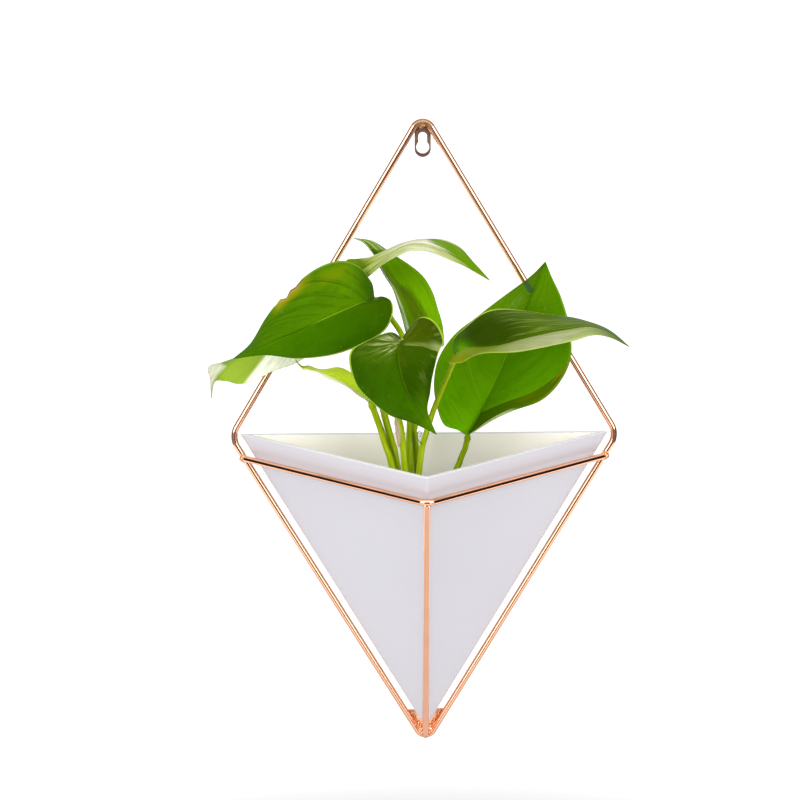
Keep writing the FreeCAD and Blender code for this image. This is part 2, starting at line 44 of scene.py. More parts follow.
# ------------------------------------------------------------------ the planter's numbers (mm)
ROD_R = 1.9
PLATE_T = 1.5
ZC = -168.5
HALF_W, HALF_H = 112.5, 188.8
ROD_Y = -3.4
Z_RAIL = ZC - 12.3
RAIL_END_X = HALF_W * (1 - 12.3 / HALF_H)
RAIL_APEX_Y = -112.0
RAIL_END_Y = -6.2
Z_RIM = ZC + 2.5
POT_HALF_W, POT_BACK_Y, POT_FRONT_Y = 107.4, -5.7, -114.0
Z_APEX = ZC - 178.8
Z_SOIL = Z_RIM - 34.0

LEAF_RIBS = {
    "leaf_1": [
        ((-28.0, -50.0, -78.7), (-28.0, -50.0, -78.7), (-28.0, -50.0, -78.7)),
        ((-28.7, -46.0, -74.3), (-30.0, -53.0, -78.8), (-23.2, -54.0, -76.5)),
        ((-30.7, -43.8, -68.7), (-33.3, -55.7, -79.2), (-18.5, -56.2, -79.0)),
        ((-36.6, -42.7, -61.4), (-38.3, -58.0, -80.5), (-18.1, -57.1, -86.5)),
        ((-47.7, -42.1, -58.5), (-46.1, -59.5, -83.5), (-22.8, -57.7, -95.7)),
        ((-62.9, -42.6, -63.8), (-57.3, -60.4, -88.3), (-35.2, -58.4, -102.9)),
        ((-78.1, -46.2, -76.1), (-69.6, -61.0, -93.8), (-53.1, -59.1, -108.8)),
        ((-88.5, -51.1, -88.5), (-82.7, -61.5, -99.0), (-71.6, -59.8, -110.5)),
        ((-97.8, -56.0, -102.2), (-95.4, -61.9, -104.8), (-88.8, -60.8, -107.9)),
        ((-107.2, -62.0, -109.8), (-107.2, -62.0, -109.8), (-107.2, -62.0, -109.8)),
    ],
    "leaf_2": [
        ((-56.4, -30.0, -101.9), (-56.4, -30.0, -101.9), (-56.4, -30.0, -101.9)),
        ((-63.9, -23.6, -98.4), (-61.5, -31.1, -102.8), (-58.1, -32.5, -108.3)),
        ((-75.4, -19.1, -99.2), (-70.6, -32.1, -104.8), (-66.1, -34.7, -114.1)),
        ((-88.1, -18.0, -102.3), (-80.8, -32.9, -108.0), (-75.2, -36.6, -118.9)),
        ((-98.6, -18.0, -113.3), (-92.2, -33.7, -111.8), (-85.9, -38.5, -122.1)),
        ((-107.9, -18.0, -118.2), (-101.9, -34.3, -114.5), (-97.3, -39.9, -127.6)),
        ((-115.9, -19.5, -120.6), (-109.9, -34.8, -118.7), (-105.9, -39.8, -129.1)),
        ((-123.2, -26.0, -122.5), (-116.5, -35.3, -124.9), (-112.7, -38.8, -127.5)),
        ((-122.3, -31.6, -128.3), (-120.5, -35.7, -129.7), (-119.0, -37.6, -128.5)),
        ((-121.3, -36.0, -138.4), (-121.3, -36.0, -138.4), (-121.3, -36.0, -138.4)),
    ],
    "leaf_3": [
        ((-30.5, -46.0, -139.2), (-30.5, -46.0, -139.2), (-30.5, -46.0, -139.2)),
        ((-32.2, -41.1, -131.6), (-34.5, -47.2, -134.9), (-34.4, -53.1, -135.0)),
        ((-37.8, -38.3, -125.2), (-40.6, -48.3, -129.4), (-40.8, -57.5, -129.9)),
        ((-44.6, -38.2, -121.4), (-47.3, -49.2, -124.8), (-48.3, -58.0, -125.0)),
        ((-51.6, -39.0, -120.3), (-54.0, -50.0, -121.5), (-55.5, -58.0, -121.6)),
        ((-58.7, -40.3, -120.5), (-60.4, -50.6, -119.5), (-61.1, -58.0, -119.0)),
        ((-65.4, -42.9, -118.5), (-66.3, -51.2, -117.7), (-66.7, -56.9, -117.5)),
        ((-69.5, -46.9, -117.2), (-69.9, -51.7, -116.3), (-70.4, -54.8, -116.0)),
        ((-72.9, -52.0, -112.2), (-72.9, -52.0, -112.2), (-72.9, -52.0, -112.2)),
    ],
    "leaf_4": [
        ((-12.7, -80.0, -96.1), (-12.7, -80.0, -96.1), (-12.7, -80.0, -96.1)),
        ((-15.4, -74.8, -94.3), (-13.3, -82.5, -96.7), (-11.0, -73.4, -94.3)),
        ((-19.5, -72.1, -93.6), (-14.1, -84.5, -98.2), (-7.9, -69.1, -90.1)),
        ((-26.7, -72.6, -94.9), (-14.8, -85.8, -100.5), (-2.8, -68.0, -86.3)),
        ((-35.0, -74.3, -98.7), (-15.1, -86.3, -103.7), (3.2, -68.7, -86.7)),
        ((-41.2, -76.1, -103.4), (-14.7, -86.6, -107.6), (8.2, -70.1, -91.5)),
        ((-41.9, -77.4, -111.6), (-13.7, -86.9, -112.3), (10.2, -76.7, -98.1)),
        ((-38.8, -78.8, -121.5), (-12.1, -87.1, -118.2), (6.8, -80.6, -103.4)),
        ((-31.7, -80.6, -128.8), (-9.6, -87.4, -124.6), (4.3, -81.7, -115.0)),
        ((-19.9, -82.7, -138.0), (-6.1, -87.6, -131.7), (2.5, -83.3, -124.8)),
        ((-7.2, -85.2, -142.1), (-1.5, -87.8, -139.3), (0.6, -85.4, -134.8)),
        ((5.9, -88.0, -147.9), (5.9, -88.0, -147.9), (5.9, -88.0, -147.9)),
    ],
    "leaf_5": [
        ((-42.9, -34.0, -72.4), (-42.9, -34.0, -72.4), (-42.9, -34.0, -72.4)),
        ((-44.3, -28.0, -61.4), (-38.4, -34.8, -67.7), (-37.8, -36.5, -72.5)),
        ((-38.4, -25.4, -60.4), (-32.7, -36.0, -63.0), (-31.6, -38.5, -68.2)),
        ((-29.9, -25.1, -58.6), (-24.7, -38.2, -57.5), (-24.2, -48.4, -60.8)),
        ((-20.8, -26.0, -55.1), (-15.7, -41.0, -52.2), (-16.9, -54.9, -54.4)),
        ((-11.7, -27.3, -51.1), (-6.8, -43.0, -48.6), (-9.7, -59.3, -50.3)),
        ((-1.0, -28.8, -48.1), (2.2, -44.0, -48.8), (-0.3, -59.8, -50.5)),
        ((9.7, -31.0, -48.4), (11.1, -44.8, -52.7), (8.6, -58.3, -52.9)),
        ((19.8, -34.0, -52.3), (20.0, -45.4, -58.3), (18.1, -56.0, -57.3)),
        ((28.6, -39.0, -60.7), (28.4, -45.8, -64.0), (27.1, -52.0, -63.2)),
        ((36.8, -46.0, -69.5), (36.8, -46.0, -69.5), (36.8, -46.0, -69.5)),
    ],
    "leaf_6": [
        ((4.9, -30.0, -111.1), (4.9, -30.0, -111.1), (4.9, -30.0, -111.1)),
        ((-4.2, -29.4, -113.5), (3.3, -27.8, -104.6), (11.3, -24.8, -110.5)),
        ((-9.2, -28.3, -106.7), (0.5, -25.6, -95.7), (10.9, -20.4, -102.0)),
        ((-13.1, -26.9, -92.4), (-4.5, -23.3, -86.8), (8.1, -17.1, -92.2)),
        ((-17.3, -25.2, -79.4), (-11.3, -21.1, -78.8), (5.6, -14.3, -82.2)),
        ((-21.7, -22.6, -71.5), (-17.5, -18.8, -71.9), (0.3, -12.3, -73.8)),
        ((-25.9, -19.8, -64.2), (-23.7, -16.2, -64.8), (-8.8, -11.7, -65.7)),
        ((-30.2, -17.4, -57.3), (-29.3, -14.2, -57.6), (-19.6, -11.5, -58.1)),
        ((-34.4, -15.1, -51.9), (-34.1, -13.4, -52.5), (-29.3, -11.9, -52.2)),
        ((-40.1, -13.0, -50.2), (-40.1, -13.0, -50.2), (-40.1, -13.0, -50.2)),
    ],
    "leaf_7": [
        ((24.0, -38.0, -160.8), (24.0, -38.0, -160.8), (24.0, -38.0, -160.8)),
        ((19.2, -36.7, -157.9), (26.0, -35.4, -157.9), (29.6, -41.0, -156.6)),
        ((10.9, -35.3, -154.6), (29.3, -33.0, -152.7), (37.4, -43.2, -150.9)),
        ((6.7, -34.0, -143.5), (33.3, -31.2, -144.9), (50.5, -44.0, -145.0)),
        ((5.3, -32.7, -130.9), (37.9, -30.0, -135.6), (65.8, -43.7, -139.1)),
        ((8.0, -31.4, -116.9), (42.8, -29.2, -125.3), (76.5, -43.0, -128.6)),
        ((16.9, -30.0, -103.6), (47.7, -28.6, -113.2), (82.7, -42.0, -114.5)),
        ((30.1, -28.1, -93.4), (52.8, -28.2, -100.8), (81.9, -39.5, -97.7)),
        ((44.9, -27.0, -82.2), (58.2, -28.0, -87.6), (77.2, -36.0, -81.0)),
        ((60.1, -27.8, -70.6), (63.8, -28.6, -74.8), (72.0, -33.0, -69.5)),
        ((68.7, -30.0, -61.6), (68.7, -30.0, -61.6), (68.7, -30.0, -61.6)),
    ],
    "leaf_8": [
        ((16.2, -68.0, -108.4), (16.2, -68.0, -108.4), (16.2, -68.0, -108.4)),
        ((15.5, -62.4, -105.6), (19.3, -69.0, -104.0), (17.1, -78.0, -110.4)),
        ((16.8, -58.0, -99.7), (24.8, -69.9, -102.7), (21.5, -85.6, -106.7)),
        ((21.9, -54.3, -94.5), (33.1, -70.7, -102.3), (28.0, -89.8, -103.1)),
        ((31.5, -51.3, -87.7), (43.0, -71.4, -101.1), (37.7, -92.8, -100.7)),
        ((42.2, -50.0, -85.1), (53.5, -72.0, -98.0), (51.3, -94.0, -99.9)),
        ((56.2, -50.8, -85.5), (66.2, -72.5, -94.9), (65.6, -92.8, -98.3)),
        ((71.8, -52.9, -88.1), (78.9, -73.0, -92.4), (78.9, -89.8, -95.6)),
        ((88.3, -56.0, -90.6), (91.0, -73.4, -91.0), (91.2, -86.0, -92.9)),
        ((101.8, -62.9, -94.3), (102.1, -73.7, -94.7), (102.1, -80.9, -95.9)),
        ((113.0, -74.0, -102.3), (113.0, -74.0, -102.3), (113.0, -74.0, -102.3)),
    ],
}
PETIOLES = {
    "petiole_1": [(-28.0, -49.0, -79.1), (-23.3, -46.0, -83.5), (-18.5, -45.0, -91.1), (-12.2, -45.0, -102.1), (-8.4, -45.0, -121.7), (-8.8, -45.0, -150.7), (-9.2, -44.0, -168.4)],
    "petiole_2": [(-56.4, -29.0, -102.1), (-45.1, -26.0, -103.3), (-35.4, -27.0, -107.9), (-28.7, -31.0, -119.9), (-24.3, -38.0, -142.3), (-19.9, -41.0, -159.7), (-17.2, -42.0, -170.6)],
    "petiole_3": [(-30.5, -45.5, -139.3), (-27.8, -46.0, -146.8), (-25.0, -46.0, -155.0), (-22.2, -46.0, -164.3), (-19.5, -46.0, -173.1)],
    "petiole_4": [(-12.7, -79.0, -96.6), (-13.5, -76.0, -103.6), (-15.3, -68.0, -121.2), (-16.2, -60.0, -139.0), (-13.7, -55.0, -151.8), (-12.5, -51.0, -165.5)],
    "petiole_5": [(-42.9, -33.5, -72.5), (-36.8, -33.0, -81.2), (-31.8, -33.5, -92.7), (-26.9, -35.0, -105.7), (-19.6, -37.0, -120.4), (-11.8, -39.5, -136.8), (-7.1, -41.0, -152.8), (-5.3, -41.0, -165.7)],
    "petiole_6": [(4.9, -29.5, -111.2), (3.2, -30.0, -125.0), (-2.1, -32.5, -143.7), (-6.2, -33.5, -158.1), (-7.7, -34.0, -170.9)],
    "petiole_7": [(24.6, -37.0, -161.1), (23.1, -38.0, -167.3), (20.5, -39.0, -173.5), (18.2, -40.0, -179.1)],
    "petiole_8": [(16.2, -67.0, -108.6), (14.3, -65.0, -115.3), (9.9, -60.0, -127.2), (4.3, -56.0, -142.4), (0.4, -51.0, -156.3), (-2.2, -47.0, -167.8)],
}



# ------------------------------------------------------------------ small mesh helpers
def new_object(name, verts, faces, smooth=True, uvs=None, mats=(), face_mats=None):
    me = bpy.data.meshes.new(name)
    me.from_pydata([tuple(v) for v in verts], [], [tuple(f) for f in faces])
    me.validate()
    if uvs is not None:
        layer = me.uv_layers.new(name="map")
        idx = np.empty(len(me.loops), np.int32)
        me.loops.foreach_get("vertex_index", idx)
        layer.data.foreach_set("uv", np.asarray(uvs, np.float32)[idx].ravel())
    for m in mats:
        me.materials.append(m)
    if face_mats is not None and len(face_mats) == len(me.polygons):
        me.polygons.foreach_set("material_index", np.asarray(face_mats, np.int32))
    if smooth:
        me.polygons.foreach_set("use_smooth", [True] * len(me.polygons))
    me.update()
    ob = bpy.data.objects.new(name, me)
    scene.collection.objects.link(ob)
    return ob


def catmull(P, t):
    """Points of the Catmull-Rom curve through P at the parameters t (0 .. n-1)."""
    P = np.asarray(P, float)
    n = len(P)
    ext = np.vstack([2 * P[0] - P[1], P, 2 * P[-1] - P[-2]])
    t = np.clip(np.asarray(t, float), 0, n - 1)
    i = np.minimum(t.astype(int), n - 2)
    f = (t - i)[:, None]
    p0, p1, p2, p3 = ext[i], ext[i + 1], ext[i + 2], ext[i + 3]
    return 0.5 * (2 * p1 + (p2 - p0) * f + (2 * p0 - 5 * p1 + 4 * p2 - p3) * f ** 2
                  + (3 * p1 - p0 - 3 * p2 + p3) * f ** 3)


def vnoise(points, scale, seed=0.0):
    return np.array([noise.noise(Vector((p[0] * scale + seed, p[1] * scale - seed, p[2] * scale + 2.3 * seed)))
                     for p in points])


def unit_rows(a):
    return a / np.maximum(np.linalg.norm(a, axis=-1, keepdims=True), 1e-12)


# ------------------------------------------------------------------ small node helpers
class Net:
    def __init__(self, tree):
        self.t = tree

    def node(self, kind, **props):
        n = self.t.nodes.new(kind)
        for k, v in props.items():
            setattr(n, k, v)
        return n

    def put(self, sock, value):
        if isinstance(value, bpy.types.NodeSocket):
            self.t.links.new(value, sock)
        elif value is not None:
            if sock.type == "RGBA" and len(value) == 3:
                value = (*value, 1.0)
            sock.default_value = value

    def math(self, op, a, b=None, c=None, clamp=False):
        n = self.node("ShaderNodeMath", operation=op, use_clamp=clamp)
        self.put(n.inputs[0], a)
        if b is not None:
            self.put(n.inputs[1], b)
        if c is not None:
            self.put(n.inputs[2], c)
        return n.outputs[0]

    def vmath(self, op, a, b=None):
        n = self.node("ShaderNodeVectorMath", operation=op)
        self.put(n.inputs[0], a)
        if b is not None:
            self.put(n.inputs[1], b)
        return n.outputs["Value"] if op in ("DOT_PRODUCT", "LENGTH", "DISTANCE") else n.outputs[0]

    def mix(self, fac, a, b, blend="MIX"):
        n = self.node("ShaderNodeMix", data_type="RGBA", blend_type=blend)
        self.put(n.inputs[0], fac)
        self.put(n.inputs[6], a)
        self.put(n.inputs[7], b)
        return n.outputs[2]

    def mixf(self, fac, a, b):
        n = self.node("ShaderNodeMix", data_type="FLOAT")
        self.put(n.inputs[0], fac)
        self.put(n.inputs[2], a)
        self.put(n.inputs[3], b)
        return n.outputs[0]

    def span(self, x, a, b, c=0.0, d=1.0, smooth=True):
        n = self.node("ShaderNodeMapRange", interpolation_type="SMOOTHSTEP" if smooth else "LINEAR")
        self.put(n.inputs[0], x)
        for k, v in zip((1, 2, 3, 4), (a, b, c, d)):
            self.put(n.inputs[k], v)
        return n.outputs[0]

    def noise(self, vec, scale, detail=3.0, rough=0.5, distortion=0.0):
        n = self.node("ShaderNodeTexNoise")
        self.put(n.inputs["Vector"], vec)
        self.put(n.inputs["Scale"], scale)
        self.put(n.inputs["Detail"], detail)
        self.put(n.inputs["Roughness"], rough)
        self.put(n.inputs["Distortion"], distortion)
        return n.outputs["Fac"]

    def ramp(self, fac, stops):
        n = self.node("ShaderNodeValToRGB")
        cr = n.color_ramp
        while len(cr.elements) < len(stops):
            cr.elements.new(0.5)
        for e, (p, c) in zip(cr.elements, stops):
            e.position = p
            e.color = (*c, 1.0)
        self.put(n.inputs[0], fac)
        return n.outputs[0]

    def bump(self, height, strength, distance, normal=None):
        n = self.node("ShaderNodeBump")
        self.put(n.inputs["Height"], height)
        self.put(n.inputs["Strength"], strength)
        self.put(n.inputs["Distance"], distance)
        if normal is not None:
            self.put(n.inputs["Normal"], normal)
        return n.outputs[0]

    def place(self):
        return self.node("ShaderNodeTexCoord").outputs["Object"]

    def mapuv(self):
        n = self.node("ShaderNodeUVMap")
        n.uv_map = "map"
        s = self.node("ShaderNodeSeparateXYZ")
        self.put(s.inputs[0], n.outputs[0])
        return s.outputs[0], s.outputs[1]

    def xyz(self, vec):
        s = self.node("ShaderNodeSeparateXYZ")
        self.put(s.inputs[0], vec)
        return s.outputs


def material(name):
    m = bpy.data.materials.new(name)
    m.use_nodes = True
    return m, Net(m.node_tree), m.node_tree.nodes["Principled BSDF"]


def srgb(r, g, b):
    """Linear colour of an 8-bit display colour."""
    out = []
    for c in (r, g, b):
        c /= 255.0
        out.append(c / 12.92 if c <= 0.04045 else ((c + 0.055) / 1.055) ** 2.4)
    return tuple(out)


# ------------------------------------------------------------------ materials: copper
def copper_material(name, tint_a, tint_b, rough_lo, rough_hi, bump=0.12):
    m, g, p = material(name)
    pos = g.place()
    broad = g.noise(pos, 60.0, 3.0, 0.55)
    fine = g.noise(pos, 900.0, 3.0, 0.6)
    smear = g.noise(pos, 260.0, 2.0, 0.5, 0.6)
    g.put(p.inputs["Base Color"], g.mix(g.span(broad, 0.35, 0.68), tint_a, tint_b))
    p.inputs["Metallic"].default_value = 1.0
    g.put(p.inputs["Roughness"], g.math("ADD", g.span(smear, 0.3, 0.75, rough_lo, rough_hi),
                                        g.math("MULTIPLY", fine, 0.04)))
    h = g.math("ADD", g.math("MULTIPLY", smear, 0.7), g.math("MULTIPLY", fine, 0.3))
    g.put(p.inputs["Normal"], g.bump(h, bump, 0.00012))
    return m


COPPER = copper_material("copper_plating", (0.955, 0.520, 0.345), (0.93, 0.49, 0.305), 0.055, 0.10, bump=0.05)
COPPER_BURNT = copper_material("copper_burnt", (0.46, 0.25, 0.125), (0.24, 0.13, 0.075), 0.30, 0.46, bump=0.9)
COPPER_WELD = copper_material("copper_weld", (0.90, 0.47, 0.25), (0.80, 0.40, 0.19), 0.22, 0.36, bump=0.6)
COPPER_DARK = copper_material("copper_dark", (0.33, 0.185, 0.135), (0.22, 0.12, 0.09), 0.36, 0.50, bump=0.25)
COPPER_GUSSET = copper_material("copper_sheet", (0.93, 0.47, 0.28), (0.85, 0.40, 0.22), 0.18, 0.28, bump=0.2)


# ------------------------------------------------------------------ materials: pot
def pot_material(name, light, shade):
    """Satin moulded plastic."""
    m, g, p = material(name)
    pos = g.place()
    cloud = g.noise(pos, 9.0, 2.0, 0.5)
    speck = g.noise(pos, 420.0, 2.0, 0.5)
    skin = g.noise(pos, 1500.0, 2.0, 0.5)
    base = g.mix(g.span(cloud, 0.35, 0.65), light, shade)
    base = g.mix(g.math("MULTIPLY", g.span(speck, 0.70, 0.80), 0.5), base, tuple(0.93 * c for c in shade))
    g.put(p.inputs["Base Color"], base)
    g.put(p.inputs["Roughness"], g.span(cloud, 0.3, 0.7, 0.30, 0.38))
    p.inputs["Specular IOR Level"].default_value = 0.40
    h = g.math("ADD", g.math("MULTIPLY", skin, 0.35), g.math("MULTIPLY", cloud, 1.0))
    g.put(p.inputs["Normal"], g.bump(h, 0.10, 0.0003))
    return m


# the pot is one white plastic in three copies toned to how each part is lit; the outside is painted greyer: painted
# shade for faces that look down, away from the light
POT = pot_material("white_pot", (0.630, 0.614, 0.664), (0.618, 0.605, 0.653))
# the rim's top: painted shade, a greyer copy of the white plastic so the rim does not catch a bright line of light
POT_RIM_PAINTED_SHADE = pot_material("white_pot_rim_painted_shade", (0.70, 0.68, 0.71), (0.69, 0.672, 0.70))
# the inside: painted light, painted much lighter and warmer than the outside to stand in for the light it gets and the
# warm bounce from the plant
POT_INSIDE_PAINTED_LIGHT = pot_material("white_pot_inside_painted_light", (0.955, 0.915, 0.855), (0.945, 0.91, 0.845))


# ------------------------------------------------------------------ materials: soil
def soil_material():
    m, g, p = material("potting_mix")
    pos = g.place()
    a = g.noise(pos, 220.0, 6.0, 0.65)
    b = g.noise(pos, 55.0, 3.0, 0.5)
    col = g.ramp(a, [(0.30, (0.010, 0.006, 0.004)), (0.50, (0.038, 0.021, 0.012)), (0.72, (0.095, 0.056, 0.032))])
    col = g.mix(g.span(b, 0.55, 0.70), col, (0.060, 0.042, 0.022))
    g.put(p.inputs["Base Color"], col)
    g.put(p.inputs["Roughness"], g.span(a, 0.3, 0.7, 0.78, 0.96))
    g.put(p.inputs["Normal"], g.bump(a, 0.9, 0.0012))
    return m


def perlite_material():
    m, g, p = material("perlite")
    a = g.noise(g.place(), 500.0, 4.0, 0.6)
    g.put(p.inputs["Base Color"], g.ramp(a, [(0.3, (0.55, 0.52, 0.46)), (0.7, (0.80, 0.78, 0.73))]))
    g.put(p.inputs["Roughness"], g.span(a, 0.3, 0.7, 0.7, 0.9))
    g.put(p.inputs["Normal"], g.bump(a, 0.6, 0.0006))
    return m


SOIL = soil_material()
PERLITE = perlite_material()


# ------------------------------------------------------------------ bent rods
def rod_path(points, radii, closed=False, step=3.0, arc_step=0.35):
    """Centre line of a bent rod: straight runs joined by tangent arcs."""
    P = [Vector(p) for p in points]
    n = len(P)
    out = []
    arcs = {}
    for i in (range(n) if closed else range(1, n - 1)):
        a, b = (P[i - 1] - P[i]).normalized(), (P[(i + 1) % n] - P[i]).normalized()
        half = a.angle(b) / 2
        t = radii[i] / math.tan(half)
        centre = P[i] + (a + b).normalized() * (radii[i] / math.sin(half))
        ta, tb = P[i] + a * t, P[i] + b * t
        turn = math.pi - 2 * half
        axis = (ta - centre).cross(tb - centre).normalized()
        k = max(4, int(radii[i] * turn / arc_step))
        arcs[i] = [centre + Matrix.Rotation(turn * j / k, 3, axis) @ (ta - centre) for j in range(k + 1)]
    runs = n if closed else n - 1
    for i in range(runs):
        j = (i + 1) % n
        s = arcs[i][-1] if i in arcs else P[i]
        e = arcs[j][0] if j in arcs else P[j]
        m = max(1, int((e - s).length / step))
        out += [s.lerp(e, q / m) for q in range(0 if i not in arcs else 1, m)]
        if j in arcs:
            out += arcs[j]
        elif not closed and j == n - 1:
            out.append(e)
    return np.array([tuple(p) for p in out])


def tube(name, path, radius, mat, closed=False, seg=40, wobble=0.0, lump=0.0, seed=1.0, ends="flat"):
    """Round tube along a path (mm), by parallel transport, with slight unevenness."""
    n = len(path)
    rad = np.full(n, radius, float) if np.isscalar(radius) else np.asarray(radius, float)
    if closed:
        tan = unit_rows(np.roll(path, -1, 0) - np.roll(path, 1, 0))
    else:
        tan = unit_rows(np.gradient(path, axis=0))
    if wobble:
        for k in range(3):
            path = path.copy()
            path[:, k] += wobble * np.array([noise.noise(Vector((s * 0.02 + seed, k * 7.3, 0.5))) for s in
                                             np.concatenate([[0], np.cumsum(np.linalg.norm(np.diff(path, axis=0), axis=1))])])
    ref = np.array([0.0, -1.0, 0.0])
    if abs(tan[0] @ ref) > 0.9:
        ref = np.array([0.0, 0.0, 1.0])
    nrm = ref - tan[0] * (ref @ tan[0])
    nrm /= np.linalg.norm(nrm)
    frames = []
    for i in range(n):
        if i:
            v = nrm - tan[i] * (nrm @ tan[i])
            nrm = v / np.linalg.norm(v)
        frames.append((nrm.copy(), np.cross(tan[i], nrm)))
    if closed:                                   # close the twist over the whole loop
        a, b = frames[0]
        v = frames[-1][0] - tan[0] * (frames[-1][0] @ tan[0])
        v /= np.linalg.norm(v)
        twist = math.atan2(v @ b, v @ a)
        for i in range(n):
            q = -twist * i / (n - 1)
            f0, f1 = frames[i]
            frames[i] = (f0 * math.cos(q) + f1 * math.sin(q), -f0 * math.sin(q) + f1 * math.cos(q))
    ang = np.linspace(0, 2 * math.pi, seg, endpoint=False)
    verts = []
    for i in range(n):
        a, b = frames[i]
        r = rad[i]
        ring = path[i] + np.outer(np.cos(ang) * r, a) + np.outer(np.sin(ang) * r, b)
        verts.append(ring)
    verts = np.vstack(verts)
    if lump:
        dirs = unit_rows(verts - np.repeat(path, seg, 0))
        verts = verts + dirs * (lump * vnoise(verts, 0.35, seed))[:, None]
    faces = []
    uvs = []
    for i in range(n):
        for j in range(seg):
            uvs.append((j / seg, i / max(1, n - 1)))
    for i in range(n if closed else n - 1):
        k = (i + 1) % n
        for j in range(seg):
            l = (j + 1) % seg
            faces.append((i * seg + j, i * seg + l, k * seg + l, k * seg + j))
    verts = list(verts)
    if not closed:
        for end, sign in ((0, -1), (n - 1, 1)):
            base = end * seg
            # a small round-over, then the flat end
            ring0 = base
            for frac, out in ((0.92, 0.06), (0.75, 0.12)) if ends == "flat" else ((0.85, 0.45), (0.5, 0.8)):
                start = len(verts)
                for j in range(seg):
                    d = verts[base + j] - path[end]
                    verts.append(path[end] + d * frac + tan[end] * sign * out * rad[end])
                    uvs.append(uvs[base + j])
                for j in range(seg):
                    l = (j + 1) % seg
                    q = (ring0 + j, ring0 + l, start + l, start + j)
                    faces.append(q if sign > 0 else q[::-1])
                ring0 = start
            c = len(verts)
            verts.append(path[end] + tan[end] * sign * (0.12 if ends == "flat" else 0.95) * rad[end])
            uvs.append(uvs[base])
            for j in range(seg):
                l = (j + 1) % seg
                q = (ring0 + j, ring0 + l, c)
                faces.append(q if sign > 0 else q[::-1])
    ob = new_object(name, np.array(verts) * MM, faces, True, uvs, (mat,))
    fix_normals(ob)
    return ob


def fix_normals(ob):
    bm = bmesh.new()
    bm.from_mesh(ob.data)
    bmesh.ops.recalc_face_normals(bm, faces=bm.faces)
    bm.to_mesh(ob.data)
    bm.free()
    ob.data.update()


diamond = tube("diamond_rod", rod_path(
    [(0, ROD_Y, ZC + HALF_H), (HALF_W, ROD_Y, ZC), (0, ROD_Y, ZC - HALF_H), (-HALF_W, ROD_Y, ZC)],
    [6.0, 12.0, 5.5, 12.0], closed=True), ROD_R, COPPER, closed=True, lump=0.03, seed=3.1)
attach(diamond, "frame")
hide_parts("back_diamond")

rail_dir = Vector((RAIL_END_X, -(RAIL_APEX_Y - RAIL_END_Y), 0)).normalized()
rail = tube("rail_rod", rod_path(
    [(-RAIL_END_X - rail_dir.x * 0.4, RAIL_END_Y + 0.4, Z_RAIL), (0, RAIL_APEX_Y, Z_RAIL),
     (RAIL_END_X + rail_dir.x * 0.4, RAIL_END_Y + 0.4, Z_RAIL)], [0, 5.0, 0], arc_step=0.25),
    ROD_R, COPPER, lump=0.03, seed=8.7)
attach(rail, "frame")
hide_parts("front_rail")

apex_angle = math.atan2(RAIL_END_X, -RAIL_APEX_Y + RAIL_END_Y)
RAIL_FRONT_Y = RAIL_APEX_Y + 5.0 * (1 / math.sin(apex_angle) - 1)
Z_BOTTOM = ZC - HALF_H + 5.5 * (1 / math.sin(math.atan2(HALF_W, HALF_H)) - 1)
strut = tube("strut_rod", rod_path([(0, RAIL_FRONT_Y + 0.6, Z_RAIL - 1.0), (0, ROD_Y - 2.4, Z_BOTTOM + 0.4)], [0, 0]),
             ROD_R, COPPER, lump=0.03, seed=5.2)
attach(strut, "frame")
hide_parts("front_strut")


# ------------------------------------------------------------------ joints: welded and plated over
def bead(center, size, seed, squash=(1, 1, 1)):
    bm = bmesh.new()
    bmesh.ops.create_icosphere(bm, subdivisions=4, radius=1.0)
    for v in bm.verts:
        d = v.co.normalized()
        k = 1 + 0.16 * noise.noise(d * 1.7 + Vector((seed, 0, 0))) + 0.07 * noise.noise(d * 4.5 + Vector((0, seed, 0)))
        v.co = Vector((d.x * squash[0], d.y * squash[1], d.z * squash[2])) * size * k + Vector(center)
    me = bpy.data.meshes.new("bead")
    bm.to_mesh(me)
    bm.free()
    return me


def short_rod(a, b, r, bulge=0.0):
    """A rod's stretch near a joint, a hair thicker than the rod it sits on."""
    path = np.array([np.array(a) + (np.array(b) - np.array(a)) * t for t in np.linspace(0, 1, 24)])
    ob = tube("tmp", path, np.full(24, r) - 0.10 * np.abs(np.linspace(-1, 1, 24)) ** 6, COPPER, seg=32)
    me = ob.data.copy()
    me.transform(Matrix.Scale(1000.0, 4))
    bpy.data.objects.remove(ob)
    return me


def path_rod(path, r):
    path = np.asarray(path, float)
    k = len(path)
    ob = tube("tmp", path, np.full(k, r) - 0.10 * np.abs(np.linspace(-1, 1, k)) ** 6, COPPER, seg=32)
    me = ob.data.copy()
    me.transform(Matrix.Scale(1000.0, 4))
    bpy.data.objects.remove(ob)
    return me


def welded(name, meshes, voxel, mat, passes=6, factor=0.5):
    """Runs several closed meshes (mm) together into one smooth skin."""
    bm = bmesh.new()
    for me in meshes:
        bm.from_mesh(me)
    me = bpy.data.meshes.new(name)
    bm.to_mesh(me)
    bm.free()
    ob = bpy.data.objects.new(name, me)
    scene.collection.objects.link(ob)
    r = ob.modifiers.new("r", "REMESH")
    r.mode = "VOXEL"
    r.voxel_size = voxel
    r.use_smooth_shade = True
    s = ob.modifiers.new("s", "SMOOTH")
    s.factor = factor
    s.iterations = passes
    dg = bpy.context.evaluated_depsgraph_get()
    out = bpy.data.meshes.new_from_object(ob.evaluated_get(dg))
    ob.modifiers.clear()
    ob.data = out
    out.transform(Matrix.Scale(MM, 4))
    out.materials.clear()
    out.materials.append(mat)
    out.polygons.foreach_set("use_smooth", [True] * len(out.polygons))
    out.update()
    return ob


leg = Vector((HALF_W, 0, -HALF_H)).normalized()        # down the right-hand upper leg


def leg_point(z, side, inward=0.0, y=ROD_Y):
    frac = abs(z - ZC) / HALF_H
    return Vector((side * (HALF_W * (1 - frac) - inward), y, z))


weld_parts = []
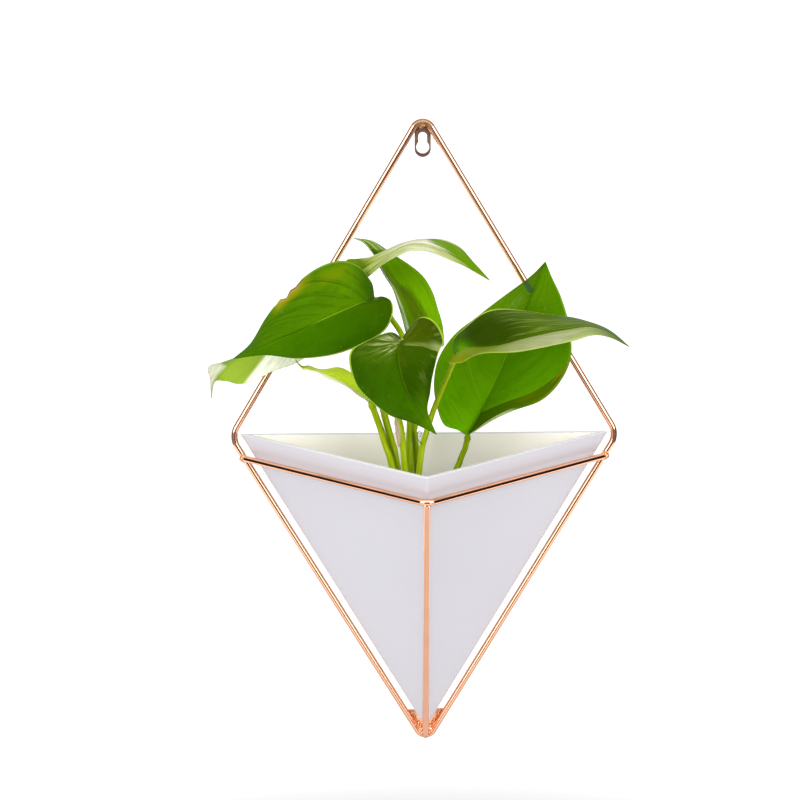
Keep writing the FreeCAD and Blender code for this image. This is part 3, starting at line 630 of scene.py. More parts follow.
# rail ends, set on the front of the lower legs
for side in (-1, 1):
    c = (side * (RAIL_END_X + 0.1), -5.9, Z_RAIL)
    weld_parts.append(welded("weld_rail_end_" + ("left" if side < 0 else "right"), [
        bead(c, 2.45, 3.3 + side, (0.95, 0.9, 1.0)),
        bead((c[0] - side * 0.9, c[1] - 0.9, c[2] + 0.8), 1.5, 9.1 + side),
    ], 0.14, COPPER_WELD, 5))
# strut under the rail's bend
weld_parts.append(welded("weld_strut_top", [
    bead((0, RAIL_FRONT_Y + 0.3, Z_RAIL - 1.6), 2.1, 6.6, (1.0, 0.9, 0.9)),
    bead((0.9, RAIL_FRONT_Y - 0.3, Z_RAIL - 2.6), 1.15, 2.9),
], 0.12, COPPER, 6))
# strut's foot, run together with the bottom corner
bottom_arc = rod_path([tuple(leg_point(Z_BOTTOM + 8.0, -1)), (0, ROD_Y, ZC - HALF_H), tuple(leg_point(Z_BOTTOM + 8.0, 1))],
                      [0, 5.5, 0], arc_step=0.3)
weld_parts.append(welded("weld_bottom", [
    path_rod(bottom_arc, ROD_R + 0.07),
    bead((0, ROD_Y - 1.9, Z_BOTTOM + 0.7), 2.35, 4.4, (1.0, 0.8, 0.95)),
    bead((-2.6, ROD_Y - 0.5, Z_BOTTOM + 3.4), 1.35, 7.4),
    bead((2.7, ROD_Y - 0.5, Z_BOTTOM + 3.7), 1.35, 1.4),
], 0.14, COPPER, 8))
# top corner: butt weld of the rod's two ends, and the fillet beside the hanging plate
top_arc = rod_path([tuple(leg_point(ZC + HALF_H - 16.0, -1)), (0, ROD_Y, ZC + HALF_H), tuple(leg_point(ZC + HALF_H - 16.0, 1))],
                   [0, 6.0, 0], arc_step=0.3)
fillet = []
for k in range(9):
    f = k / 8
    q = leg_point(ZC + HALF_H - 8.6 - 9.2 * f, 1, 1.55 + 0.35 * f + 0.12 * math.sin(2.7 * k))
    fillet.append(bead((q.x, ROD_Y + 0.1, q.z), 1.25 - 0.55 * f + 0.07 * math.sin(4.1 * k), 8.2 + k, (0.8, 0.9, 1.3)))
weld_parts.append(welded("weld_top", [
    path_rod(top_arc, ROD_R + 0.05),
    bead((0.3, ROD_Y - 0.15, ZC + HALF_H - 7.3), 1.75, 5.5, (1.25, 0.85, 0.95)),
    bead((-0.9, ROD_Y + 0.1, ZC + HALF_H - 8.6), 1.15, 3.1, (1.2, 0.9, 0.9)),
], 0.13, COPPER_BURNT, 7))
weld_parts.append(welded("weld_plate", fillet, 0.12, COPPER_WELD, 5))
# gusset tack welds along the inside of both lower legs
for side in (-1, 1):
    beads = []
    for k, z in enumerate(np.linspace(ZC - 171.5, ZC - 179.5, 5)):
        q = leg_point(z, side, 2.5 + 0.25 * math.sin(3.1 * k + side))
        beads.append(bead((q.x, -PLATE_T - 0.6, q.z), 1.15 + 0.15 * math.sin(5.0 * k), 2.2 * k + side, (0.8, 0.8, 1.5)))
    weld_parts.append(welded("weld_gusset_" + ("left" if side < 0 else "right"), beads, 0.12, COPPER_WELD, 4))
for k, w in enumerate(weld_parts):
    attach(w, "frame")
    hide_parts("weld_beads")


# ------------------------------------------------------------------ sheet parts: hanging plate and gusset
def sheet(name, loops, thick, edge, mat):
    """Flat sheet in the x-z plane from y=0 out to y=-thick, with eased edges. Loops in mm."""
    cu = bpy.data.curves.new(name, "CURVE")
    cu.dimensions = "2D"
    cu.fill_mode = "BOTH"
    cu.extrude = (thick / 2 - edge) * MM
    cu.bevel_depth = edge * MM
    cu.bevel_resolution = 3
    cu.offset = -edge * MM
    for loop in loops:
        sp = cu.splines.new("POLY")
        sp.points.add(len(loop) - 1)
        for pt, (x, z) in zip(sp.points, loop):
            pt.co = (x * MM, z * MM, 0, 1)
        sp.use_cyclic_u = True
    tmp = bpy.data.objects.new(name + "_tmp", cu)
    scene.collection.objects.link(tmp)
    dg = bpy.context.evaluated_depsgraph_get()
    me = bpy.data.meshes.new_from_object(tmp.evaluated_get(dg))
    bpy.data.objects.remove(tmp)
    me.transform(Matrix(((1, 0, 0, 0), (0, 0, -1, 0), (0, 1, 0, 0), (0, 0, 0, 1))))
    me.transform(Matrix.Translation((0, -thick / 2 * MM, 0)))
    bm = bmesh.new()
    bm.from_mesh(me)
    bmesh.ops.remove_doubles(bm, verts=bm.verts, dist=1e-6)
    bmesh.ops.recalc_face_normals(bm, faces=bm.faces)
    bm.to_mesh(me)
    bm.free()
    me.materials.clear()
    me.materials.append(mat)
    ob = bpy.data.objects.new(name, me)
    scene.collection.objects.link(ob)
    me.polygons.foreach_set("use_smooth", [True] * len(me.polygons))
    me.set_sharp_from_angle(angle=math.radians(35))
    me.update()
    return ob


def arc(cx, cz, r, a0, a1, n):
    return [(cx + r * math.cos(math.radians(a0 + (a1 - a0) * i / n)),
             cz + r * math.sin(math.radians(a0 + (a1 - a0) * i / n))) for i in range(n + 1)]


TAB_W, TAB_TOP, TAB_LOW = 4.6, 15.4, -1.1
outer = arc(0, TAB_TOP - TAB_W, TAB_W, 0, 180, 32) + arc(0, TAB_LOW, TAB_W, 180, 360, 32)
a_in = math.degrees(math.acos(2.5 / 3.7))
inner = arc(0, 6.1, 2.5, 0, 180, 28) + arc(0, 0, 3.7, 180 - a_in, 360 + a_in, 48)
plate = sheet("keyhole_plate", [outer, inner], PLATE_T, 0.22, COPPER_DARK)
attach(plate, "frame")
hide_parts("hanger_plate")

z_gt = ZC - 168.4
gw = HALF_W * (1 - 168.4 / HALF_H) + 0.2
zb = Z_BOTTOM - 0.4
slope = gw / (z_gt - (ZC - HALF_H))
gusset = sheet("corner_gusset", [[(-gw, z_gt - 0.4), (-slope * (zb - ZC + HALF_H), zb), (slope * (zb - ZC + HALF_H), zb),
                                  (gw, z_gt + 0.4)]], PLATE_T, 0.2, COPPER_GUSSET)
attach(gusset, "frame")
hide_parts("bottom_gusset")

# ------------------------------------------------------------------ pot
def section(z, gap):
    """Corners (left rear, front, right rear) of the pot's outside at height z, sides moved in by gap."""
    k = (z - Z_APEX) / (Z_RIM - Z_APEX)
    cy = POT_BACK_Y
    pts = [(-POT_HALF_W * k, cy), (0.0, cy + (POT_FRONT_Y - cy) * k), (POT_HALF_W * k, cy)]
    out, sides = [], []
    for i in range(3):
        a, b = pts[i], pts[(i + 1) % 3]
        ux, uy = b[0] - a[0], b[1] - a[1]
        ln = math.hypot(ux, uy)
        sides.append(((a[0] - uy / ln * gap, a[1] + ux / ln * gap), (ux / ln, uy / ln)))
    for i in range(3):
        (ax, ay), (ux, uy) = sides[i - 1]
        (bx, by), (wx, wy) = sides[i]
        det = ux * (-wy) - uy * (-wx)
        t = ((bx - ax) * (-wy) - (by - ay) * (-wx)) / det
        out.append(np.array((ax + ux * t, ay + uy * t)))
    return out


def pot_loop(z, gap, rear, front, n_arc=8, n_side=30):
    """One level of the pot: a triangle in plan with rounded corners."""
    P = section(z, gap)
    radii = (rear, front, rear)
    marks = []
    for i in range(3):
        p0, p1, p2 = P[i - 1], P[i], P[(i + 1) % 3]
        a = (p0 - p1) / np.linalg.norm(p0 - p1)
        b = (p2 - p1) / np.linalg.norm(p2 - p1)
        half = math.acos(max(-1, min(1, a @ b))) / 2
        r = min(radii[i], 0.35 * min(np.linalg.norm(p0 - p1), np.linalg.norm(p2 - p1)) * math.tan(half))
        t = r / math.tan(half)
        c = p1 + (a + b) / np.linalg.norm(a + b) * (r / math.sin(half))
        ta, tb = p1 + a * t, p1 + b * t
        a0 = math.atan2(*(ta - c)[::-1])
        a1 = math.atan2(*(tb - c)[::-1])
        while a1 - a0 > math.pi:
            a1 -= 2 * math.pi
        while a1 - a0 < -math.pi:
            a1 += 2 * math.pi
        marks.append([c + r * np.array((math.cos(a0 + (a1 - a0) * k / n_arc), math.sin(a0 + (a1 - a0) * k / n_arc)))
                      for k in range(n_arc + 1)])
    out = []
    for i in range(3):
        out += marks[i]
        s, e = marks[i][-1], marks[(i + 1) % 3][0]
        out += [s + (e - s) * k / n_side for k in range(1, n_side)]
    return [(q[0], q[1], z) for q in out]


def pot_shell():
    tip = Z_APEX + 0.021 * (Z_RIM - Z_APEX)
    inner_floor = Z_APEX + 3.0 / 44.75 * (Z_RIM - Z_APEX) + 6.0
    loops, kinds = [], []

    def add(z, gap, rear, front, kind):
        loops.append(pot_loop(z, gap, rear, front))
        kinds.append(kind)
    # outside, from the tip up; the edges are eased a little more towards the rim
    add(tip + 0.02, 0.35, 0.2, 0.4, 0)
    add(tip + 0.12, 0.10, 0.2, 0.5, 0)
    for k in range(0, 41):
        f = k / 40
        z = tip + 0.35 + (Z_RIM - 0.5 - tip - 0.35) * f
        add(z, 0.0, 0.20 + 0.05 * f, 0.7 + 1.3 * f, 0)
    for k in range(1, 7):                        # over the rim
        q = math.pi / 2 * k / 6
        add(Z_RIM - 0.5 + 0.5 * math.sin(q), 0.5 * (1 - math.cos(q)), 0.25, 2.0 - 0.05 * k, 2)
    for k in range(0, 7):
        q = math.pi / 2 * k / 6
        add(Z_RIM - 0.5 + 0.5 * math.cos(q), 2.5 + 0.5 * math.sin(q), 0.6, 1.3, 2)
    for k in range(1, 31):                       # inside, down to the small flat floor
        f = k / 30
        z = Z_RIM - 0.5 + (inner_floor - Z_RIM + 0.5) * f
        add(z, 3.0, 0.6, 1.3, 1)
    verts = np.array([p for l in loops for p in l])
    n = len(loops[0])
    cen = np.array([0.0, POT_BACK_Y - 36.0])
    for i in range(len(verts)):                  # mould skin is never quite flat
        x, y, z = verts[i]
        if z > Z_RIM - 0.6:
            continue
        d = np.array([x, y]) - cen
        ln = np.linalg.norm(d)
        k = 0.10 * noise.noise(Vector((x * 0.018, y * 0.018, z * 0.018))) + 0.03 * noise.noise(Vector((x * 0.06, y * 0.06, z * 0.05 + 9)))
        verts[i, :2] += d / max(ln, 1e-6) * k * min(1.0, (Z_RIM - 0.6 - z) / 8.0)
    faces, fm = [], []
    for l in range(len(loops) - 1):
        for j in range(n):
            k = (j + 1) % n
            faces.append((l * n + j, l * n + k, (l + 1) * n + k, (l + 1) * n + j))
            fm.append(kinds[l + 1])
    verts = list(verts)
    for l, z_off in ((0, -0.02), (len(loops) - 1, 0.0)):
        c = len(verts)
        m = np.mean([verts[l * n + j] for j in range(n)], 0)
        verts.append(m + (0, 0, z_off))
        for j in range(n):
            k = (j + 1) % n
            faces.append((l * n + k, l * n + j, c) if l == 0 else (l * n + j, l * n + k, c))
            fm.append(kinds[l])
    ob = new_object("pot_shell", np.array(verts) * MM, faces, True, None, (POT, POT_INSIDE_PAINTED_LIGHT, POT_RIM_PAINTED_SHADE), fm)
    fix_normals(ob)
    ob.data.set_sharp_from_angle(angle=math.radians(50))
    return ob


pot = pot_shell()
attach(pot, "pot")
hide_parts("planter_pot")



# ------------------------------------------------------------------ leaf and stalk materials
def leaf_material(name, spec):
    """Waxy leaf. The map's first coordinate runs from base to tip, the second across (0.5 is the midrib)."""
    m, g, p = material(name)
    u, v = g.mapuv()
    pos = g.place()
    side = g.math("SUBTRACT", v, 0.5)
    a = g.math("MULTIPLY", g.math("ABSOLUTE", side), 2.0)                 # 0 midrib .. 1 edge
    on_b = g.span(v, 0.494, 0.506)
    on_a = g.math("SUBTRACT", 1.0, on_b)
    warp = g.noise(pos, 55.0, 3.0, 0.55)
    cloud = g.noise(pos, 34.0, 4.0, 0.6)
    cloud2 = g.noise(g.vmath("ADD", pos, (0.7, 0.2, 0.4)), 95.0, 4.0, 0.6)
    fine = g.noise(pos, 650.0, 3.0, 0.6)
    speck = g.noise(pos, 330.0, 1.0, 0.4)
    wob = g.math("SUBTRACT", warp, 0.5)
    uw = g.math("ADD", u, g.math("MULTIPLY", wob, 0.05))
    # colour of the two halves, base to tip
    col = g.mix(on_b, g.ramp(uw, spec["a"]), g.ramp(uw, spec["b"]))
    # soft ripples between the lateral veins, which leave the midrib and swing towards the tip
    sweep = g.math("MULTIPLY", g.math("POWER", a, spec.get("sweep_p", 0.9)), spec.get("sweep", 0.42))
    phase = g.math("MULTIPLY", g.math("SUBTRACT", g.math("ADD", u, g.math("MULTIPLY", wob, 0.06)), sweep), spec.get("veins", 8.0))
    tri = g.math("ABSOLUTE", g.math("SUBTRACT", g.math("FRACT", phase), 0.5))
    between = g.span(tri, 0.0, 0.5)
    fine_tri = g.math("ABSOLUTE", g.math("SUBTRACT", g.math("FRACT", g.math("MULTIPLY", phase, 3.0)), 0.5))
    stripes = g.span(fine_tri, 0.1, 0.5)
    patchy = g.span(cloud2, 0.36, 0.60)
    rip_a = g.math("MULTIPLY", on_a, spec.get("ripple_a", spec.get("ripple", 0.15)))
    rip_b = g.math("MULTIPLY", on_b, spec.get("ripple_b", spec.get("ripple", 0.15)))
    rip = g.math("MULTIPLY", g.math("ADD", rip_a, rip_b), g.span(tri, 0.30, 0.47))
    rip = g.math("MULTIPLY", rip, g.math("MULTIPLY", patchy, g.math("MULTIPLY", g.span(a, 0.06, 0.22), g.span(a, 0.95, 0.75))))
    col = g.mix(rip, col, spec.get("ripple_col", (0.03, 0.10, 0.0)))
    # clouds and specks
    col = g.mix(g.math("MULTIPLY", g.span(cloud, 0.50, 0.72), spec.get("mottle", 0.20)), col, spec.get("light", (0.16, 0.34, 0.0)))
    col = g.mix(g.math("MULTIPLY", g.span(cloud2, 0.52, 0.36), spec.get("shade", 0.14)), col, spec.get("dark", (0.03, 0.10, 0.0)))
    col = g.mix(g.math("MULTIPLY", g.span(speck, 0.735, 0.775), spec.get("specks", 0.30)), col, spec.get("speck_col", (0.30, 0.46, 0.16)))
    # streaks: along the blade, along one set direction, or fanning out from where the stalk joins
    px, py, pz = g.xyz(pos)[:3]
    tx, tz = spec.get("grain", (1.0, 0.0))
    length = g.math("ADD", g.math("MULTIPLY", px, tx * 1000.0), g.math("MULTIPLY", pz, tz * 1000.0))
    across = g.math("ADD", g.math("MULTIPLY", px, -tz * 1000.0), g.math("MULTIPLY", pz, tx * 1000.0))
    if spec.get("fan"):
        fx, fz = spec["fan"]
        ang = g.math("ARCTAN2", g.math("SUBTRACT", pz, fz * MM), g.math("SUBTRACT", px, fx * MM))
        comb = g.node("ShaderNodeCombineXYZ")
        g.put(comb.inputs[0], g.math("MULTIPLY", ang, spec.get("fan_n", 9.0)))
        g.put(comb.inputs[1], g.math("MULTIPLY", u, 5.0))
        along = g.noise(comb.outputs[0], 1.0, 3.0, 0.65)
    elif spec.get("grain"):
        comb = g.node("ShaderNodeCombineXYZ")
        g.put(comb.inputs[0], g.math("MULTIPLY", length, 0.07))
        g.put(comb.inputs[1], g.math("MULTIPLY", across, spec.get("grain_n", 0.85)))
        along = g.noise(comb.outputs[0], 1.0, 3.0, 0.65)
    else:
        comb = g.node("ShaderNodeCombineXYZ")
        g.put(comb.inputs[0], g.math("MULTIPLY", u, spec.get("streak_u", 2.6)))
        g.put(comb.inputs[1], g.math("MULTIPLY", v, spec.get("streak_v", 24.0)))
        along = g.noise(comb.outputs[0], 1.0, 3.0, 0.65)
    # broad areas: patches of the leaf's own colour, and the painted highlights and shadows marked in each leaf's table
    for zone in spec.get("zones", ()):
        mask = None
        for which, lo0, lo1, hi0, hi1 in zone["in"]:
            if which == "sw":                      # distance past a swept line  u0 + du * a**p
                u0, du, pw = zone["line"]
                x = g.math("SUBTRACT", u, g.math("ADD", g.math("MULTIPLY", g.math("POWER", a, pw), du), u0))
            else:
                x = {"u": u, "v": v, "a": a, "A": a, "B": a, "n": across}[which]
            x = g.math("ADD", x, g.math("MULTIPLY", wob, zone.get("warp", 0.05)))
            part = None
            if lo1 is not None:
                part = g.span(x, lo0, lo1)
            if hi1 is not None:
                q = g.span(x, hi1, hi0)
                part = q if part is None else g.math("MULTIPLY", part, q)
            if which in "AB" and part is not None:
                part = g.math("MULTIPLY", part, on_a if which == "A" else on_b)
            mask = part if mask is None else g.math("MULTIPLY", mask, part)
        if zone.get("streak"):
            lo, hi = zone.get("cut", (0.40, 0.58))
            mask = g.math("MULTIPLY", mask, g.span(along, lo, hi, 1.0 - zone["streak"], 1.0))
        col = g.mix(g.math("MULTIPLY", mask, zone["k"]), col, zone["col"])
    # single veins drawn as swept lines: side, start, reach, power, half width, strength, colour, from a, to a
    lines = None
    for sd, u0, du, pw, w, k, vc, a0, a1 in spec.get("lines_uv", ()):
        x = g.math("ABSOLUTE", g.math("SUBTRACT", g.math("ADD", u, g.math("MULTIPLY", wob, 0.010)),
                                      g.math("ADD", g.math("MULTIPLY", g.math("POWER", a, pw), du), u0)))
        q = g.math("MULTIPLY", g.span(x, w, w * 0.25), on_a if sd == "a" else on_b)
        q = g.math("MULTIPLY", q, g.math("MULTIPLY", g.span(a, a1, a1 * 0.8), g.span(a, a0, a0 + 0.06)))
        col = g.mix(g.math("MULTIPLY", q, k), col, vc)
        lines = q if lines is None else g.math("MAXIMUM", lines, q)
    # midrib and rim
    w = spec.get("mid_w", 0.016)
    mid = g.math("MULTIPLY", g.span(a, w, w * 0.3), g.span(u, 0.99, 0.90))
    mid_col = spec.get("mid_col", (0.22, 0.40, 0.04))
    if spec.get("mid_far"):
        mid_col = g.mix(g.span(u, *spec.get("mid_turn", (0.38, 0.55))), mid_col, spec["mid_far"])
    col = g.mix(g.math("MULTIPLY", mid, spec.get("mid", 0.8)), col, mid_col)
    # painted shadow: a dark band beside the midrib on the blade's A half
    if spec.get("midrib_painted_shadow"):
        q = g.math("MULTIPLY", g.math("MULTIPLY", on_a, g.span(a, 0.075, 0.015)), g.math("SUBTRACT", 1.0, mid))
        col = g.mix(g.math("MULTIPLY", q, spec["midrib_painted_shadow"]), col, spec.get("dark", (0.03, 0.10, 0.0)))
    rim = g.math("MULTIPLY", g.span(a, 0.955, 0.980),
                 g.math("ADD", g.math("MULTIPLY", on_a, spec.get("rim_a", spec.get("rim", 0.6))),
                        g.math("MULTIPLY", on_b, spec.get("rim_b", spec.get("rim", 0.6)))))
    col = g.mix(rim, col, spec.get("rim_col", (0.30, 0.44, 0.04)))
    base_glow = g.math("MULTIPLY", g.span(u, 0.05, 0.0), spec.get("base", 0.5))
    col = g.mix(base_glow, col, spec.get("base_col", (0.30, 0.42, 0.12)))
    # painted shadow: a dark line across the blade where the frame's wire behind it shows through
    for painted_wire_shadow in spec.get("lines", ()):
        (ax, ay, az), (bx, by, bz) = painted_wire_shadow["from"], painted_wire_shadow["to"]
        A, B = Vector((ax, ay, az)) * MM, Vector((bx, by, bz)) * MM
        d = (B - A)
        rel = g.vmath("SUBTRACT", pos, tuple(A))
        t = g.math("DIVIDE", g.vmath("DOT_PRODUCT", rel, tuple(d)), d.length_squared, clamp=True)
        sc = g.node("ShaderNodeVectorMath", operation="SCALE")
        g.put(sc.inputs[0], tuple(d))
        g.put(sc.inputs["Scale"], t)
        dist = g.vmath("LENGTH", g.vmath("MULTIPLY", g.vmath("SUBTRACT", rel, sc.outputs[0]), (1.0, 0.1, 1.0)))
        dist = g.math("ADD", dist, g.math("MULTIPLY", wob, painted_wire_shadow.get("ragged", 0.0)))
        mask = g.span(dist, painted_wire_shadow["r"][1] * MM, painted_wire_shadow["r"][0] * MM)
        col = g.mix(g.math("MULTIPLY", mask, painted_wire_shadow["k"]), col, painted_wire_shadow["col"])
    g.put(p.inputs["Base Color"], col)
    g.put(p.inputs["Roughness"], g.span(cloud, 0.3, 0.7, spec.get("rough", 0.36), spec.get("rough", 0.36) + 0.12))
    p.inputs["Specular IOR Level"].default_value = spec.get("gloss", 0.10)
    p.inputs["Specular Tint"].default_value = (*spec.get("gloss_tint", (0.85, 1.0, 0.05)), 1.0)
    h = g.math("ADD", g.math("MULTIPLY", between, -0.6), g.math("MULTIPLY", stripes, -0.10))
    h = g.math("ADD", h, g.math("MULTIPLY", fine, 0.05))
    h = g.math("ADD", h, g.math("MULTIPLY", mid, -0.5))
    g.put(p.inputs["Normal"], g.bump(h, spec.get("bump", 0.45), 0.0006))
    return m


def under_material(name, col, vein_col, veins=9.0, sweep=0.16, gloss=0.3):
    """Paler, duller underside of a leaf."""
    m, g, p = material(name)
    u, v = g.mapuv()
    pos = g.place()
    a = g.math("MULTIPLY", g.math("ABSOLUTE", g.math("SUBTRACT", v, 0.5)), 2.0)
    warp = g.noise(pos, 55.0, 3.0, 0.55)
    sw = g.math("MULTIPLY", g.math("POWER", a, 1.35), sweep)
    phase = g.math("MULTIPLY", g.math("SUBTRACT", g.math("ADD", u, g.math("MULTIPLY", g.math("SUBTRACT", warp, 0.5), 0.03)), sw), veins)
    tri = g.math("ABSOLUTE", g.math("SUBTRACT", g.math("FRACT", phase), 0.5))
    vein = g.math("MULTIPLY", g.span(tri, 0.43, 0.5), g.span(a, 0.98, 0.75))
    mid = g.span(a, 0.05, 0.015)
    c = g.mix(g.span(warp, 0.35, 0.7), col, tuple(min(1, k * 1.18) for k in col))
    c = g.mix(g.math("MAXIMUM", g.math("MULTIPLY", vein, 0.55), mid), c, vein_col)
    g.put(p.inputs["Base Color"], c)
    g.put(p.inputs["Roughness"], g.span(warp, 0.3, 0.7, 0.42, 0.55))
    p.inputs["Specular IOR Level"].default_value = gloss
    p.inputs["Specular Tint"].default_value = (0.92, 1.0, 0.6, 1.0)
    g.put(p.inputs["Normal"], g.bump(g.math("ADD", vein, g.noise(pos, 900.0, 2.0, 0.5)), 0.3, 0.0003))
    return m


# ------------------------------------------------------------------ leaf blades
def leaf(name, table, spec, mats, nt=150, nv=65):
    """Thin closed blade through ribs (mm) with a sunken midrib, raised ribs below and rippled veins."""
    ribs = np.array(table, float)                        # rows x columns x 3
    rows, cols = ribs.shape[:2]
    cv = spec.get("cols") or list(np.linspace(-1, 1, cols))
    t = np.linspace(0, rows - 1, nt)
    s = np.linspace(-1, 1, nv)
    v = np.sign(s) * (0.72 * np.abs(s) + 0.28 * np.abs(s) ** 2)
    v[0], v[-1] = -1, 1
    C = np.stack([catmull(ribs[:, k], t) for k in range(cols)], 1)      # nt x cols x 3
    S = np.empty((nt, nv, 3))
    for j, vv in enumerate(v):
        k = min(cols - 2, max(0, int(np.searchsorted(cv, vv, side="right")) - 1))
        f = (vv - cv[k]) / (cv[k + 1] - cv[k])
        S[:, j] = C[:, k] * (1 - f) + C[:, k + 1] * f
    # side of the leaf that is its upper face
    up = np.array(spec["up"], float)
    def normals(G):
        gu = np.gradient(G, axis=0)
        gv = np.gradient(G, axis=1)
        nrm = np.cross(gu, gv)
        nrm = unit_rows(nrm)
        ref = nrm[nt // 2, nv // 2]
        if (nrm.reshape(-1, 3) @ up).sum() < 0:
            nrm = -nrm
        return nrm
    N = normals(S)
    mid = np.interp(0.0, v, np.arange(nv))
    width = np.linalg.norm(C[:, -1] - C[:, 0], axis=1)
    A = np.abs(v)[None, :]
    bulge = spec.get("bulge", 0.06)
    S = S + N * (bulge * width[:, None] * 0.5 * 4 * A * (1 - A))[..., None]
    # soften the creases a little, keeping the outline
    for _ in range(spec.get("soft", 3)):
        S[1:-1, 1:-1] = 0.5 * S[1:-1, 1:-1] + 0.125 * (S[:-2, 1:-1] + S[2:, 1:-1] + S[1:-1, :-2] + S[1:-1, 2:])
    N = normals(S)
    for _ in range(2):
        N[1:-1, 1:-1] = unit_rows(0.4 * N[1:-1, 1:-1] + 0.15 * (N[:-2, 1:-1] + N[2:, 1:-1] + N[1:-1, :-2] + N[1:-1, 2:]))
    u = (t / (rows - 1))[:, None] * np.ones((1, nv))
    # distance from the midrib in mm
    D = np.linalg.norm(S - S[:, [int(round(mid))]], axis=2)
    phase = (u - spec.get("sweep", 0.30) * A ** 1.35) * spec.get("veins", 9.0)
    tri = np.abs(phase - np.floor(phase) - 0.5)
    edge_fade = np.clip((1 - A) / 0.25, 0, 1) * np.clip(D / 3.0, 0, 1) * np.clip(u / 0.10, 0, 1) * np.clip((1 - u) / 0.12, 0, 1)
    relief = spec.get("relief", 0.08) * (0.5 - tri) * 2 * edge_fade
    relief = relief - spec.get("groove", 0.35) * np.exp(-(D / 0.9) ** 2) * np.clip((1 - u) / 0.15, 0, 1)
    margin = spec.get("wave", 0.5) * np.sin(2 * math.pi * (spec.get("waves", 3.3) * u + 0.25 * np.sign(v)[None, :])) * A ** 4 \
        * np.clip(u / 0.2, 0, 1) * np.clip((1 - u) / 0.2, 0, 1)
    S = S + N * (relief + margin)[..., None]
    if spec.get("shape"):
        S = spec["shape"](S, u, v, N)
    th = 0.23 * (1 - 0.55 * np.clip((A - 0.8) / 0.2, 0, 1)) * np.ones_like(D)
    ridge = 0.55 * np.exp(-(D / 0.75) ** 2) * np.clip((1 - u) / 0.6, 0, 1)
    th_low = th + ridge + 0.05 * np.clip(1 - np.abs(tri - 0.5) / 0.08, 0, 1) * edge_fade
    top = S + N * th[..., None]
    low = S - N * th_low[..., None]
    verts, uvs, faces, fm = [], [], [], []
    grid = np.arange(nt * nv).reshape(nt, nv)
    for layer in (top, low):
        verts += list(layer.reshape(-1, 3))
        uvs += list(np.stack([u, np.broadcast_to((v[None, :] + 1) / 2, u.shape)], -1).reshape(-1, 2))
    off = nt * nv
    # base and tip rows close on one point each
    for r in (0, nt - 1):
        for o, layer in ((0, top), (off, low)):
            c = layer[r].mean(0)
            for j in range(nv):
                verts[o + grid[r, j]] = c
    flip = None
    for i in range(nt - 1):
        for j in range(nv - 1):
            q = (grid[i, j], grid[i + 1, j], grid[i + 1, j + 1], grid[i, j + 1])
            faces.append(q)
            fm.append(0)
            faces.append(tuple(off + k for k in q[::-1]))
            fm.append(1)
    for j in (0, nv - 1):
        for i in range(nt - 1):
            q = (grid[i, j], off + grid[i, j], off + grid[i + 1, j], grid[i + 1, j])
            faces.append(q if j == 0 else q[::-1])
            fm.append(0)
    for i in (0, nt - 1):
        for j in range(nv - 1):
            q = (grid[i, j], grid[i, j + 1], off + grid[i, j + 1], off + grid[i, j])
            faces.append(q if i == 0 else q[::-1])
            fm.append(0)
    me = bpy.data.meshes.new(name)
    me.from_pydata([tuple(np.array(p) * MM) for p in verts], [], faces)
    layer = me.uv_layers.new(name="map")
    idx = np.empty(len(me.loops), np.int32)
    me.loops.foreach_get("vertex_index", idx)
    layer.data.foreach_set("uv", np.asarray(uvs, np.float32)[idx].ravel())
    for mm in mats:
        me.materials.append(mm)
    me.polygons.foreach_set("material_index", np.asarray(fm, np.int32))
    me.polygons.foreach_set("use_smooth", [True] * len(me.polygons))
    bm = bmesh.new()
    bm.from_mesh(me)
    bmesh.ops.remove_doubles(bm, verts=bm.verts, dist=2e-6)
    bmesh.ops.dissolve_degenerate(bm, dist=1e-7, edges=bm.edges)
    bmesh.ops.recalc_face_normals(bm, faces=bm.faces)
    bm.to_mesh(me)
    bm.free()
    ob = bpy.data.objects.new(name, me)
    scene.collection.objects.link(ob)
    me.update()
    return ob


# ------------------------------------------------------------------ how each blade is coloured and curved
def nick(S, u, v, N):
    """A dried bite out of the upper margin."""
    n = S.shape[1]
    x = u[:, 0]
    bite = 2.6 * np.clip(1 - np.abs(x - 0.668) / 0.022, 0, 1) ** 0.8 + 1.3 * np.clip(1 - np.abs(x - 0.625) / 0.03, 0, 1)
    bite = bite + 0.5 * np.exp(-((x - 0.715) / 0.010) ** 2)
    mid = S[:, n // 2]
    for j in range(n):
        if v[j] < -0.80:
            f = (-v[j] - 0.80) / 0.20
            d = unit_rows(mid - S[:, j])
            S[:, j] += d * (bite * f)[:, None]
    return S


def lobe(S, u, v, N):
    """The near half's heel rolls out past the stalk."""
    n = S.shape[1]
    x = u[:, 0]
    push = np.clip(np.sin(np.pi * np.clip(x / 0.17, 0, 1)), 0, 1)
    for j in range(n):
        if v[j] > 0:
            S[:, j] += push[:, None] * np.array((-4.2 * v[j] ** 1.2, 0.0, 0.6 * v[j]))
    return S


